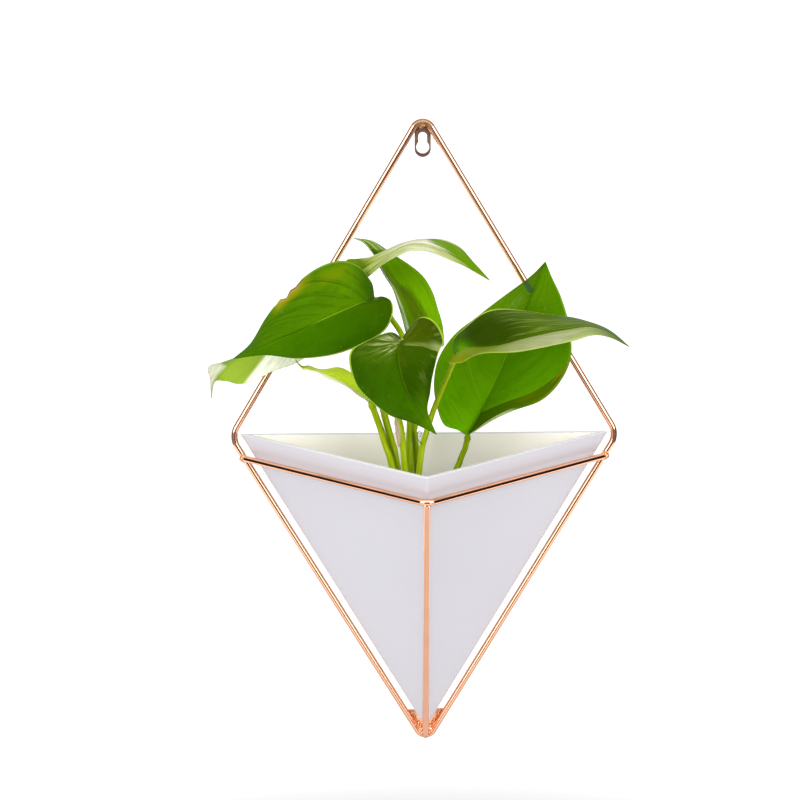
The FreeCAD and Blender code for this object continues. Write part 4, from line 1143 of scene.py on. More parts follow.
N2 = 1.7
LEAF_SPECS = {
    "leaf_1": dict(
        up=(0, -1, 0.5), bulge=0.05, veins=7.6, sweep=0.50, sweep_p=0.85, relief=0.10, ripple_a=0.55, ripple_b=0.10, wave=0.4,
        # the upper (A) half is painted a little lighter than the lower half over the base and middle: painted light
        # from above, on top of the leaf's own green
        a=[(0.0, srgb(48, 84, 0)), (0.18, srgb(50, 88, 0)), (0.34, srgb(64, 104, 0)), (0.6, srgb(62, 104, 0)), (0.85, srgb(58, 98, 0)), (1.0, srgb(52, 92, 0))],
        b=[(0.0, srgb(42, 74, 0)), (0.2, srgb(38, 68, 0)), (0.4, srgb(46, 84, 0)), (0.7, srgb(52, 96, 0)), (1.0, srgb(60, 104, 0))],
        ripple_col=srgb(30, 66, 0), light=srgb(84, 122, 0), mottle=0.35, shade=0.22, dark=srgb(34, 70, 0),
        mid_col=srgb(116, 148, 24), mid_far=srgb(24, 48, 0), mid_w=0.014, mid_turn=(0.54, 0.66), rim_col=srgb(160, 186, 76), rim_a=0.35, rim_b=1.0, specks=0.10,
        shape=nick, base=0.7, base_col=srgb(150, 170, 100),
        lines_uv=[("a", 0.15, 0.50, 0.80, 0.010, 0.55, srgb(26, 56, 0), 0.10, 0.95),
                  ("a", 0.31, 0.46, 0.85, 0.011, 0.34, srgb(30, 64, 0), 0.15, 0.85),
                  ("a", 0.40, 0.44, 0.85, 0.013, 0.30, srgb(30, 64, 0), 0.10, 0.75),
                  ("a", 0.50, 0.42, 0.85, 0.013, 0.34, srgb(30, 64, 0), 0.08, 0.70)],
        zones=[
            dict(col=srgb(108, 122, 0), k=0.42, warp=0.20, **{"in": [("u", 0.36, 0.42, 0.48, 0.56), ("A", 0.50, 0.66, 0.82, 0.95)]}),
            dict(col=srgb(44, 80, 0), k=0.6, warp=0.15, **{"in": [("u", None, None, 0.30, 0.40), ("A", 0.25, 0.5, None, None)]}),
            dict(col=srgb(130, 128, 8), k=0.85, warp=0.05, **{"in": [("u", 0.55, 0.61, 0.70, 0.76), ("A", 0.66, 0.86, None, None)]}),
            dict(col=srgb(158, 128, 60), k=0.85, warp=0.03, **{"in": [("u", 0.59, 0.615, 0.69, 0.715), ("A", 0.86, 0.93, None, None)]}),
            dict(col=srgb(74, 28, 10), k=1.0, warp=0.01, **{"in": [("u", 0.585, 0.60, 0.675, 0.690), ("A", 0.945, 0.965, None, None)]}),
            # painted highlight: soft pale streaks on the lower half beside the stalk
            dict(col=srgb(120, 140, 60), k=0.35, streak=0.95, warp=0.05, **{"in": [("u", 0.05, 0.10, 0.16, 0.22), ("B", 0.05, 0.15, 0.45, 0.60)]}),
        ], streak_u=26.0, streak_v=4.0),
    "leaf_2": dict(
        up=(0, -1, 0.6), bulge=0.05, veins=7.0, relief=0.06, ripple=0.05, gloss=0.12,
        a=[(0.0, srgb(130, 158, 50)), (0.45, srgb(130, 158, 44)), (0.70, srgb(122, 154, 20)), (0.80, srgb(120, 142, 30)), (0.86, srgb(176, 178, 152)), (1.0, srgb(160, 165, 120))],
        b=[(0.0, srgb(134, 158, 60)), (0.35, srgb(134, 160, 60)), (0.55, srgb(134, 160, 48)), (0.75, srgb(134, 162, 50)), (0.84, srgb(128, 150, 40)), (0.90, srgb(170, 176, 136)), (1.0, srgb(150, 158, 110))],
        ripple_col=srgb(98, 134, 0), light=srgb(134, 160, 40), mottle=0.2, shade=0.10, dark=srgb(96, 130, 0), mid_col=srgb(140, 164, 40), mid=0.3,
        rim_col=srgb(176, 184, 110), rim=0.5, grain=(-0.63, -0.777), grain_n=0.8,
        zones=[
            # painted highlight: the pale streaked band across the blade is its sheen painted into the colour
            dict(col=srgb(255, 255, 236), k=1.0, streak=0.25, warp=0.10, cut=(0.42, 0.52), **{"in": [("n", N2 - 1.5, N2 + 1.5, None, None), ("u", 0.02, 0.10, 0.70, 0.76)]}),
            dict(col=srgb(214, 212, 196), k=0.95, streak=0.35, warp=0.03, **{"in": [("u", 0.68, 0.71, None, None), ("v", None, None, 0.36, 0.52)]}),
            dict(col=srgb(130, 140, 100), k=0.5, streak=1.0, warp=0.03, cut=(0.52, 0.60), **{"in": [("u", 0.70, 0.74, None, None), ("v", None, None, 0.36, 0.60)]}),
            dict(col=srgb(96, 128, 4), k=0.6, warp=0.06, **{"in": [("u", 0.35, 0.45, 0.66, 0.72), ("A", 0.10, 0.30, 0.70, 0.95)]}),
        ]),
    "leaf_3": dict(
        # partly its own pale young green, partly painted light: the whole blade is painted much lighter to stand in for
        # light shining through it
        up=(0, -0.6, 1), bulge=0.03, veins=7.0, relief=0.05, ripple=0.04, gloss=0.10,
        a=[(0.0, srgb(207, 233, 11)), (0.5, srgb(227, 251, 50)), (0.72, srgb(214, 235, 44)), (0.84, srgb(140, 174, 0)), (1.0, srgb(164, 187, 44))],
        b=[(0.0, srgb(211, 235, 33)), (0.5, srgb(222, 246, 65)), (0.8, srgb(164, 192, 22)), (1.0, srgb(164, 187, 44))],
        ripple_col=srgb(185, 218, 0), light=srgb(233, 251, 109), mottle=0.2, shade=0.1, dark=srgb(185, 216, 0), mid=0.25, mid_col=srgb(185, 207, 87),
        rim_col=srgb(203, 207, 142), rim=0.6, streak_u=2.0, streak_v=12.0,
        zones=[
            dict(col=srgb(246, 244, 218), k=0.9, streak=0.3, warp=0.06, **{"in": [("u", None, None, 0.72, 0.82), ("B", 0.58, 0.74, None, None)]}),
            dict(col=srgb(98, 131, 0), k=0.6, streak=0.5, warp=0.05, **{"in": [("u", 0.78, 0.82, 0.90, 0.93), ("a", None, None, 0.6, 0.9)]}),
        ]),
    "leaf_4": dict(
        up=(0, -1, 0.3), bulge=0.07, veins=8.0, sweep=0.40, relief=0.08, ripple=0.10, gloss=0.10, rough=0.30, fan=(-12.7, -97.0), fan_n=10.0,
        a=[(0.0, srgb(66, 86, 14)), (0.2, srgb(50, 78, 0)), (0.40, srgb(42, 76, 0)), (0.7, srgb(44, 84, 0)), (0.9, srgb(54, 96, 0)), (1.0, srgb(76, 120, 0))],
        b=[(0.0, srgb(56, 68, 0)), (0.30, srgb(52, 68, 0)), (0.46, srgb(50, 68, 0)), (0.54, srgb(36, 60, 0)), (0.75, srgb(38, 70, 0)), (0.9, srgb(54, 96, 0)), (1.0, srgb(76, 120, 0))],
        ripple_col=srgb(28, 58, 0), light=srgb(56, 92, 0), mottle=0.25, shade=0.25, dark=srgb(28, 52, 0), specks=0.16, speck_col=srgb(104, 124, 60),
        mid_col=srgb(80, 108, 14), mid_w=0.011, mid=0.55, midrib_painted_shadow=0.5, rim_col=srgb(168, 196, 60), rim=0.9, base=0.8, base_col=srgb(170, 172, 120),
        zones=[
            # painted highlight: the two pale streaked fans over the upper lobe are its sheen, painted in
            dict(col=srgb(98, 116, 34), k=0.75, streak=0.85, warp=0.06, cut=(0.46, 0.56), **{"in": [("u", 0.02, 0.06, 0.30, 0.52), ("A", 0.06, 0.2, 0.85, 0.98)]}),
            dict(col=srgb(170, 174, 126), k=0.9, streak=1.0, warp=0.05, cut=(0.53, 0.60), **{"in": [("u", 0.04, 0.10, 0.26, 0.44), ("A", 0.06, 0.16, 0.62, 0.85)]}),
            dict(col=srgb(26, 44, 0), k=0.75, streak=0.4, warp=0.04, **{"in": [("u", 0.05, 0.08, 0.14, 0.20), ("A", 0.25, 0.4, 0.85, 0.95)]}),
            # painted highlight: pale streaks of sheen on the curled-back lobe
            dict(col=srgb(96, 112, 30), k=0.5, streak=1.0, warp=0.04, cut=(0.54, 0.62), **{"in": [("u", 0.14, 0.22, 0.40, 0.48), ("B", 0.15, 0.25, 0.75, 0.92)]}),
            # painted highlight: the two pale bands along the fold, where the curled lobe turns up towards the light
            dict(col=srgb(104, 120, 52), k=0.8, streak=0.3, warp=0.012, line=(-0.026, 0.662, 0.40), **{"in": [("sw", -0.065, -0.010, -0.004, 0.002), ("B", 0.14, 0.28, None, None)]}),
            dict(col=srgb(134, 146, 88), k=0.75, streak=0.3, warp=0.012, line=(-0.026, 0.662, 0.40), **{"in": [("sw", -0.095, -0.030, -0.006, 0.0), ("B", 0.62, 0.85, None, None)]}),
            dict(col=srgb(36, 66, 0), k=0.85, warp=0.01, line=(-0.026, 0.662, 0.40), **{"in": [("sw", 0.0, 0.006, 0.16, 0.34), ("B", 0.02, 0.10, None, None)]}),
            dict(col=srgb(104, 120, 50), k=0.4, streak=1.0, warp=0.02, cut=(0.48, 0.56), **{"in": [("u", 0.40, 0.43, 0.50, 0.54), ("B", 0.80, 0.86, 0.94, 0.98)]}),
            dict(col=srgb(84, 100, 40), k=0.5, streak=1.0, warp=0.03, cut=(0.54, 0.6), **{"in": [("u", 0.57, 0.60, 0.68, 0.78), ("B", 0.30, 0.50, None, None)]}),
        ]),
    "leaf_5": dict(
        up=(0, -0.3, 1), bulge=0.05, veins=8.0, relief=0.03, ripple=0.05, gloss=0.03, rough=0.42, bump=0.06, streak_u=2.6, streak_v=17.0,
        # painted highlight: the pale, nearly white middle of both halves is the sheen along the top of the arch
        a=[(0.0, srgb(96, 128, 0)), (0.20, srgb(84, 112, 0)), (0.27, srgb(150, 164, 70)), (0.42, srgb(192, 194, 154)), (0.60, srgb(200, 198, 172)), (0.68, srgb(150, 154, 100)), (0.74, srgb(88, 122, 0)), (1.0, srgb(100, 140, 0))],
        b=[(0.0, srgb(110, 134, 10)), (0.20, srgb(146, 164, 70)), (0.42, srgb(172, 182, 112)), (0.6, srgb(180, 186, 128)), (0.8, srgb(156, 170, 90)), (0.88, srgb(100, 134, 10)), (1.0, srgb(104, 142, 0))],
        ripple_col=srgb(90, 120, 20), light=srgb(150, 160, 90), mottle=0.1, shade=0.12, dark=srgb(90, 116, 10), mid_col=srgb(70, 100, 0), mid=0.5, mid_w=0.03,
        rim_col=srgb(186, 196, 140), rim=0.6, base_col=srgb(130, 150, 40),
        zones=[
            # painted highlight: white streaks along the arch
            dict(col=srgb(214, 210, 196), k=0.85, streak=1.0, cut=(0.46, 0.36), warp=0.03, **{"in": [("u", 0.20, 0.28, 0.76, 0.84)]}),
            dict(col=srgb(96, 118, 20), k=0.9, streak=1.0, cut=(0.55, 0.60), warp=0.03, **{"in": [("u", 0.12, 0.20, 0.78, 0.86)]}),
            dict(col=srgb(90, 130, 0), k=0.95, warp=0.03, streak=0.15, **{"in": [("u", 0.58, 0.66, None, None), ("A", 0.05, 0.2, 0.80, 0.90)]}),
            # painted highlight: a whitish band near the A edge of the arch
            dict(col=srgb(220, 206, 190), k=0.85, warp=0.02, **{"in": [("u", 0.42, 0.52, 0.76, 0.84), ("A", 0.82, 0.92, None, None)]}),
        ]),
    "leaf_6": dict(
        up=(0, -1, 0.2), bulge=0.05, veins=8.0, sweep=0.36, relief=0.05, ripple=0.05, streak_u=1.8, streak_v=13.0,
        a=[(0.0, srgb(90, 118, 20)), (0.3, srgb(84, 118, 4)), (0.5, srgb(90, 124, 8)), (0.75, srgb(114, 138, 40)), (1.0, srgb(96, 118, 40))],
        b=[(0.0, srgb(124, 174, 0)), (0.3, srgb(116, 170, 0)), (0.6, srgb(106, 160, 0)), (0.78, srgb(74, 116, 0)), (0.86, srgb(96, 124, 20)), (1.0, srgb(100, 122, 50))],
        ripple_col=srgb(80, 124, 0), light=srgb(136, 184, 0), mottle=0.2, shade=0.12, dark=srgb(84, 136, 0), mid_col=srgb(60, 88, 0), mid=0.55,
        rim_col=srgb(120, 150, 20), rim=0.4,
        zones=[
            dict(col=srgb(92, 140, 0), k=0.55, streak=1.0, cut=(0.50, 0.58), warp=0.02, **{"in": [("u", 0.1, 0.2, 0.8, 0.9), ("B", 0.05, 0.15, 0.85, 0.95)]}),
            dict(col=srgb(72, 96, 4), k=0.75, warp=0.03, **{"in": [("u", 0.12, 0.22, 0.42, 0.52), ("v", 0.20, 0.30, 0.56, 0.66)]}),
            # painted highlight: pale strips of sheen along the A edge
            dict(col=srgb(186, 194, 160), k=0.85, streak=0.9, cut=(0.44, 0.52), **{"in": [("u", 0.14, 0.24, 0.86, 0.94), ("v", None, None, 0.07, 0.15)]}),
            dict(col=srgb(176, 184, 140), k=0.85, streak=1.0, cut=(0.50, 0.56), **{"in": [("u", 0.76, 0.80, 0.96, 0.99)]}),
            # painted shadow cast by leaf 5, which arches just above this part
            dict(col=srgb(50, 80, 0), k=0.6, warp=0.03, **{"in": [("u", 0.69, 0.73, 0.78, 0.81), ("a", None, None, 0.8, 0.95)]}),
        ]),
    "leaf_7": dict(
        up=(0, -1, 0.1), bulge=0.05, veins=9.0, sweep=0.40, sweep_p=1.8, relief=0.10, ripple_a=0.12, ripple_b=0.30, wave=0.5,
        a=[(0.0, srgb(70, 116, 0)), (0.12, srgb(92, 154, 0)), (0.4, srgb(92, 152, 0)), (0.7, srgb(80, 124, 0)), (0.85, srgb(66, 100, 6)), (1.0, srgb(58, 90, 6))],
        b=[(0.0, srgb(64, 106, 0)), (0.3, srgb(80, 136, 0)), (0.6, srgb(82, 140, 0)), (0.78, srgb(64, 106, 0)), (0.92, srgb(74, 116, 0)), (1.0, srgb(58, 90, 6))],
        ripple_col=srgb(60, 112, 0), light=srgb(100, 152, 0), mottle=0.25, shade=0.20, dark=srgb(62, 112, 0), mid_col=srgb(122, 160, 30), mid_w=0.013,
        mid_far=srgb(44, 72, 0), mid_turn=(0.66, 0.76), rim_col=srgb(128, 160, 40), rim_a=0.35, rim_b=0.45, specks=0.08,
        lines_uv=[("a", 0.075, 0.37, 1.0, 0.0042, 0.75, srgb(124, 162, 34), 0.05, 0.80),
                  ("a", 0.295, 0.40, 1.0, 0.0042, 0.75, srgb(124, 162, 34), 0.08, 0.72),
                  ("b", 0.27, 0.35, 2.2, 0.0060, 0.6, srgb(108, 150, 20), 0.10, 0.98),
                  ("b", 0.74, 0.10, 1.2, 0.0050, 0.45, srgb(40, 70, 0), 0.04, 0.30)],
        zones=[
            dict(col=srgb(58, 86, 0), k=0.85, warp=0.012, line=(0.262, 0.35, 2.2), **{"in": [("sw", None, None, -0.018, 0.004), ("B", 0.02, 0.10, None, None)]}),
            dict(col=srgb(92, 100, 0), k=0.55, streak=0.9, warp=0.02, line=(0.262, 0.35, 2.2), **{"in": [("sw", None, None, -0.02, 0.0), ("B", 0.55, 0.70, None, None), ("u", 0.30, 0.40, None, None)]}),
            # painted highlight: a yellowish band at the edge of the B half, ending at the first side vein
            dict(col=srgb(120, 124, 20), k=0.8, streak=0.2, warp=0.012, line=(0.262, 0.35, 2.2), **{"in": [("sw", -0.06, -0.03, -0.01, 0.004), ("B", 0.86, 0.92, 0.97, 1.0)]}),
            dict(col=srgb(178, 186, 130), k=0.95, warp=0.01, streak=0.2, **{"in": [("u", 0.02, 0.05, 0.27, 0.33), ("B", 0.84, 0.88, None, None)]}),
            dict(col=srgb(104, 126, 60), k=0.5, streak=1.0, warp=0.02, cut=(0.52, 0.60), **{"in": [("u", 0.68, 0.72, 0.80, 0.86), ("A", 0.25, 0.35, 0.62, 0.75)]}),
        ], streak_u=3.0, streak_v=22.0,
        # painted shadow of the frame wire that lies behind this blade
        lines=[dict(**{"from": (55.3, -30, -70.2), "to": (60.2, -30, -78.2)}, r=(0.6, 2.2), ragged=0.0022, k=0.72, col=srgb(40, 60, 44))]),
    "leaf_8": dict(
        up=(0, -0.3, 1), bulge=0.05, veins=9.0, sweep=0.36, relief=0.05, ripple=0.04, gloss=0.08, rough=0.34, streak_u=3.6, streak_v=20.0,
        a=[(0.0, srgb(84, 140, 0)), (0.13, srgb(82, 138, 0)), (0.22, srgb(52, 88, 0)), (0.32, srgb(38, 62, 0)), (0.46, srgb(44, 68, 0)), (0.6, srgb(62, 88, 2)), (0.8, srgb(70, 94, 10)), (1.0, srgb(62, 88, 10))],
        # painted highlight: the near (B) half's pale middle is the sheen of the arching blade
        b=[(0.0, srgb(104, 128, 0)), (0.3, srgb(104, 126, 0)), (0.38, srgb(112, 130, 30)), (0.48, srgb(138, 146, 90)), (0.64, srgb(146, 154, 98)), (0.78, srgb(132, 146, 80)), (0.88, srgb(92, 110, 40)), (1.0, srgb(70, 94, 14))],
        ripple_col=srgb(40, 70, 0), light=srgb(84, 108, 20), mottle=0.12, shade=0.12, dark=srgb(36, 60, 0), mid_col=srgb(122, 140, 60), mid_w=0.020, mid=0.5,
        shape=lobe, rim_col=srgb(170, 196, 74), rim_a=1.0, rim_b=0.5, specks=0.08,
        zones=[
            dict(col=srgb(34, 54, 0), k=0.85, warp=0.07, **{"in": [("u", 0.20, 0.30, 0.44, 0.60), ("A", 0.04, 0.12, 0.62, 0.90)]}),
            dict(col=srgb(104, 118, 54), k=0.65, streak=1.0, warp=0.04, cut=(0.50, 0.60), **{"in": [("u", 0.42, 0.56, 0.94, 1.0), ("A", 0.04, 0.10, 0.92, 0.98)]}),
            # painted highlight: pale streaks of sheen on the near half
            dict(col=srgb(160, 162, 130), k=0.75, streak=1.0, warp=0.04, cut=(0.50, 0.60), **{"in": [("u", 0.46, 0.54, 0.84, 0.92), ("B", 0.04, 0.10, 0.90, 1.0)]}),
            dict(col=srgb(128, 106, 0), k=0.35, streak=0.9, warp=0.04, **{"in": [("u", 0.02, 0.05, 0.28, 0.38), ("B", 0.50, 0.70, None, None)]}),
        ]),
}


under_green = under_material("leaf_underside", (0.20, 0.36, 0.055), (0.34, 0.48, 0.14))
under_young = under_material("young_leaf_underside", (0.42, 0.56, 0.14), (0.55, 0.66, 0.28))
for name in sorted(LEAF_RIBS):
    spec = LEAF_SPECS[name]
    top_mat = leaf_material(name + "_skin", spec)
    young = name in ("leaf_2", "leaf_3")
    ob = leaf("blade_" + name[-1], LEAF_RIBS[name], spec, (top_mat, under_young if young else under_green))
    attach(ob, "plant")
    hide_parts(name)


# ------------------------------------------------------------------ stalks
def stalk_material(name, low, high, line, dull):
    """Leaf stalk: paler lines along it, duller streaks and flecks, and a slightly deeper green at the leaf end than at
    the foot.
    """
    m, g, p = material(name)
    u, v = g.mapuv()
    pos = g.place()
    a = g.noise(pos, 70.0, 3.0, 0.55)
    wob = g.math("SUBTRACT", a, 0.5)
    comb = g.node("ShaderNodeCombineXYZ")
    g.put(comb.inputs[0], g.math("MULTIPLY", v, 3.0))
    g.put(comb.inputs[1], g.math("MULTIPLY", u, 9.0))
    fibre = g.noise(comb.outputs[0], 1.0, 3.0, 0.6)
    col = g.mix(g.math("ADD", v, g.math("MULTIPLY", wob, 0.5), clamp=True), high, low)
    col = g.mix(g.math("MULTIPLY", g.span(fibre, 0.50, 0.62), 0.55), col, line)
    col = g.mix(g.math("MULTIPLY", g.span(fibre, 0.46, 0.36), 0.60), col, dull)
    col = g.mix(g.math("MULTIPLY", g.span(g.noise(pos, 900.0, 1.0, 0.4), 0.72, 0.78), 0.5), col, dull)
    g.put(p.inputs["Base Color"], col)
    g.put(p.inputs["Roughness"], g.span(a, 0.3, 0.7, 0.34, 0.46))
    p.inputs["Specular IOR Level"].default_value = 0.12
    p.inputs["Specular Tint"].default_value = (1.0, 1.0, 0.08, 1.0)
    g.put(p.inputs["Normal"], g.bump(fibre, 0.35, 0.0004))
    return m


# three copies of the stalk green; the two darker ones go on stalks 1, 5 and 7
STALK = stalk_material("leaf_stalk", srgb(160, 182, 14), srgb(148, 172, 2), srgb(192, 208, 80), srgb(116, 140, 0))
STALK_DARK = stalk_material("leaf_stalk_dark", srgb(138, 168, 6), srgb(124, 152, 0), srgb(178, 198, 60), srgb(92, 120, 0))
STALK_DEEPEST = stalk_material("leaf_stalk_deepest", srgb(116, 140, 2), srgb(104, 128, 0), srgb(150, 168, 46), srgb(80, 104, 0))
PETIOLE_R = {1: 1.85, 2: 2.15, 3: 2.25, 4: 1.9, 5: 1.85, 6: 1.95, 7: 2.0, 8: 1.8}
FEET = {
    1: (-9.0, -42.5, -206.5), 2: (-14.0, -40.5, -206.5), 3: (-15.5, -46.0, -206.5), 4: (-10.5, -48.0, -206.5),
    5: (-4.0, -41.0, -206.5), 6: (-9.0, -34.5, -206.5), 7: (10.0, -42.0, -206.5), 8: (-5.0, -46.5, -206.5),
}
for k in range(1, 9):
    ctrl = [np.array(q) for q in PETIOLES["petiole_%d" % k]]
    foot = np.array(FEET[k])
    ctrl += [foot + (0, 0, 12.0), foot]
    line = catmull(ctrl, np.linspace(0, len(ctrl) - 1, 110))
    s = np.concatenate([[0], np.cumsum(np.linalg.norm(np.diff(line, axis=0), axis=1))])
    s /= s[-1]
    r = PETIOLE_R[k] * (0.80 + 0.30 * s ** 1.5 + 0.22 * np.exp(-((s - 0.02) / 0.03) ** 2))
    r[s < 0.015] *= 0.85
    ob = tube("stalk_%d" % k, line, r, STALK_DEEPEST if k == 7 else STALK_DARK if k in (1, 5) else STALK, seg=20, lump=0.12, seed=k * 1.7, ends="round")
    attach(ob, "plant")
    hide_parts("petiole_%d" % k)


# ------------------------------------------------------------------ potting soil
def inner_triangle(z, gap):
    """Corners of the pot's inside at height z, moved in by gap."""
    k = (z - Z_APEX) / (Z_RIM - Z_APEX)
    cx, cy = 0.0, POT_BACK_Y
    pts = [(-POT_HALF_W * k, cy), (0.0, cy + (POT_FRONT_Y - cy) * k), (POT_HALF_W * k, cy)]
    side = math.hypot(POT_HALF_W, POT_FRONT_Y - POT_BACK_Y)
    out = []
    sides = []
    for i in range(3):
        a, b = pts[i], pts[(i + 1) % 3]
        ux, uy = b[0] - a[0], b[1] - a[1]
        ln = math.hypot(ux, uy)
        nx, ny = -uy / ln, ux / ln
        sides.append(((a[0] + nx * gap, a[1] + ny * gap), (ux / ln, uy / ln)))
    for i in range(3):
        (ax, ay), (ux, uy) = sides[i - 1]
        (bx, by), (wx, wy) = sides[i]
        det = ux * (-wy) - uy * (-wx)
        t = ((bx - ax) * (-wy) - (by - ay) * (-wx)) / det
        out.append((ax + ux * t, ay + uy * t))
    return [np.array(q) for q in out]


def soil_block():
    rng = np.random.default_rng(7)
    n = 84
    A, B, C = inner_triangle(Z_SOIL, 4.3)
    cen = (A + B + C) / 3
    verts, faces, index = [], [], {}
    for i in range(n + 1):
        for j in range(n + 1 - i):
            wa, wb = i / n, j / n
            wc = 1 - wa - wb
            q = A * wa + B * wb + C * wc
            edge = min(wa, wb, wc)
            h = 1.4 * noise.noise(Vector((q[0] * 0.05, q[1] * 0.05, 1.0))) + 0.9 * noise.noise(Vector((q[0] * 0.22, q[1] * 0.22, 4.0))) \
                + 0.5 * noise.noise(Vector((q[0] * 0.6, q[1] * 0.6, 9.0)))
            h -= 1.5 * math.exp(-edge / 0.02)
            index[(i, j)] = len(verts)
            verts.append((q[0], q[1], Z_SOIL - 1.2 + h))
    for i in range(n):
        for j in range(n - i):
            faces.append((index[(i, j)], index[(i + 1, j)], index[(i, j + 1)]))
            if j < n - i - 1:
                faces.append((index[(i + 1, j)], index[(i + 1, j + 1)], index[(i, j + 1)]))
    loop = [index[(i, 0)] for i in range(n + 1)] + [index[(n - j, j)] for j in range(1, n + 1)] + \
        [index[(0, n - j)] for j in range(1, n)]
    ring = loop
    levels = 16
    for l in range(1, levels + 1):
        z = Z_SOIL - 1.2 - 118.0 * l / levels * 0.985
        A2, B2, C2 = inner_triangle(z, 4.3)
        new = []
        for k in range(len(loop)):
            if k <= n:
                w = k / n
                q = C2 * (1 - w) + A2 * w
            elif k <= 2 * n:
                w = (k - n) / n
                q = A2 * (1 - w) + B2 * w
            else:
                w = (k - 2 * n) / n
                q = B2 * (1 - w) + C2 * w
            inward = np.array([(A2 + B2 + C2)[0] / 3 - q[0], (A2 + B2 + C2)[1] / 3 - q[1]])
            d = 0.8 * (0.5 + 0.5 * noise.noise(Vector((q[0] * 0.25, q[1] * 0.25, z * 0.25))))
            ln = np.linalg.norm(inward)
            q = q + inward / max(ln, 1e-6) * min(d, ln * 0.3)
            new.append(len(verts))
            verts.append((q[0], q[1], z))
        for k in range(len(loop)):
            k2 = (k + 1) % len(loop)
            faces.append((ring[k], ring[k2], new[k2], new[k]))
        ring = new
    c = len(verts)
    verts.append(tuple(np.mean([verts[k] for k in ring], 0)))
    for k in range(len(ring)):
        faces.append((ring[k], ring[(k + 1) % len(ring)], c))
    ob = new_object("soil_block", np.array(verts) * MM, faces, True, None, (SOIL,))
    fix_normals(ob)
    return ob


def crumbs(name, count, lo, hi, mat, seed, flat=0.7):
    """Loose lumps lying on the soil."""
    rng = np.random.default_rng(seed)
    A, B, C = inner_triangle(Z_SOIL, 7.5)
    bm = bmesh.new()
    feet = [np.array(FEET[k][:2]) for k in FEET]
    made = 0
    while made < count:
        wa, wb = rng.random(2)
        if wa + wb > 1:
            wa, wb = 1 - wa, 1 - wb
        q = A * wa + B * wb + C * (1 - wa - wb)
        size = lo + (hi - lo) * rng.random() ** 2.2
        made += 1
        if min(np.linalg.norm(q - f) for f in feet) < 2.6 + size:
            continue
        h = 1.4 * noise.noise(Vector((q[0] * 0.05, q[1] * 0.05, 1.0))) + 0.9 * noise.noise(Vector((q[0] * 0.22, q[1] * 0.22, 4.0))) \
            + 0.5 * noise.noise(Vector((q[0] * 0.6, q[1] * 0.6, 9.0)))
        got = bmesh.ops.create_icosphere(bm, subdivisions=2, radius=1.0)["verts"]
        off = Vector(rng.random(3) * 50)
        ax = Vector(rng.random(3) - 0.5).normalized()
        rot = Matrix.Rotation(rng.random() * 6.28, 3, ax)
        for vtx in got:
            d = vtx.co.normalized()
            k = 1 + 0.55 * noise.noise(d * 1.6 + off)
            w = rot @ Vector((d.x, d.y * 0.8, d.z * flat)) * size * k
            vtx.co = (Vector((q[0], q[1], Z_SOIL - 1.2 + h + size * 0.25)) + w) * MM
    me = bpy.data.meshes.new(name)
    bm.to_mesh(me)
    bm.free()
    me.materials.append(mat)
    me.polygons.foreach_set("use_smooth", [True] * len(me.polygons))
    me.update()
    ob = bpy.data.objects.new(name, me)
    scene.collection.objects.link(ob)
    return ob


soil = soil_block()
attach(soil, "plant")
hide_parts("potting_soil")
for ob in (crumbs("soil_crumbs", 420, 0.5, 2.0, SOIL, 11), crumbs("soil_perlite", 70, 0.5, 1.3, PERLITE, 23)):
    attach(ob, "plant")

# ------------------------------------------------------------------ dry sheath and a loose root hair by the stalks
def husk_material(name, light, dark):
    m, g, p = material(name)
    u, v = g.mapuv()
    pos = g.place()
    comb = g.node("ShaderNodeCombineXYZ")
    g.put(comb.inputs[0], g.math("MULTIPLY", v, 2.0))
    g.put(comb.inputs[1], g.math("MULTIPLY", u, 14.0))
    fibre = g.noise(comb.outputs[0], 1.0, 3.0, 0.6)
    g.put(p.inputs["Base Color"], g.mix(g.span(fibre, 0.38, 0.62), light, dark))
    g.put(p.inputs["Roughness"], g.span(g.noise(pos, 300.0, 2.0, 0.5), 0.3, 0.7, 0.55, 0.75))
    p.inputs["Specular IOR Level"].default_value = 0.2
    g.put(p.inputs["Normal"], g.bump(fibre, 0.5, 0.0005))
    return m


SHEATH = [(-15.0, -52.4, -163.0), (-15.1, -53.6, -158.0), (-15.5, -55.2, -153.0), (-16.2, -57.2, -148.0), (-16.6, -59.6, -143.2)]
HAIR = [(-2.0, -50.2, -162.4), (-3.7, -50.6, -160.2), (-4.5, -51.0, -157.4), (-4.2, -51.2, -155.4), (-3.3, -51.5, -154.5),
        (-2.3, -51.5, -155.4), (-2.6, -51.5, -157.2), (-3.4, -51.5, -157.9)]
HUSK = husk_material("dry_sheath", srgb(214, 196, 172), srgb(176, 150, 118))
ROOT = husk_material("root_hair", srgb(120, 106, 88), srgb(78, 66, 52))
line = catmull([np.array(q) for q in SHEATH], np.linspace(0, len(SHEATH) - 1, 40))
s = np.linspace(0, 1, 40)
ob = tube("sheath_scale", line, 1.55 * np.sin(np.pi * (0.10 + 0.80 * s)) ** 0.8, HUSK, seg=18, lump=0.2, seed=4.4, ends="round")
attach(ob, "plant")
line = catmull([np.array(q) for q in HAIR], np.linspace(0, len(HAIR) - 1, 60))
ob = tube("root_curl", line, 0.26 - 0.10 * np.linspace(0, 1, 60), ROOT, seg=10, seed=2.2, ends="round")
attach(ob, "plant")


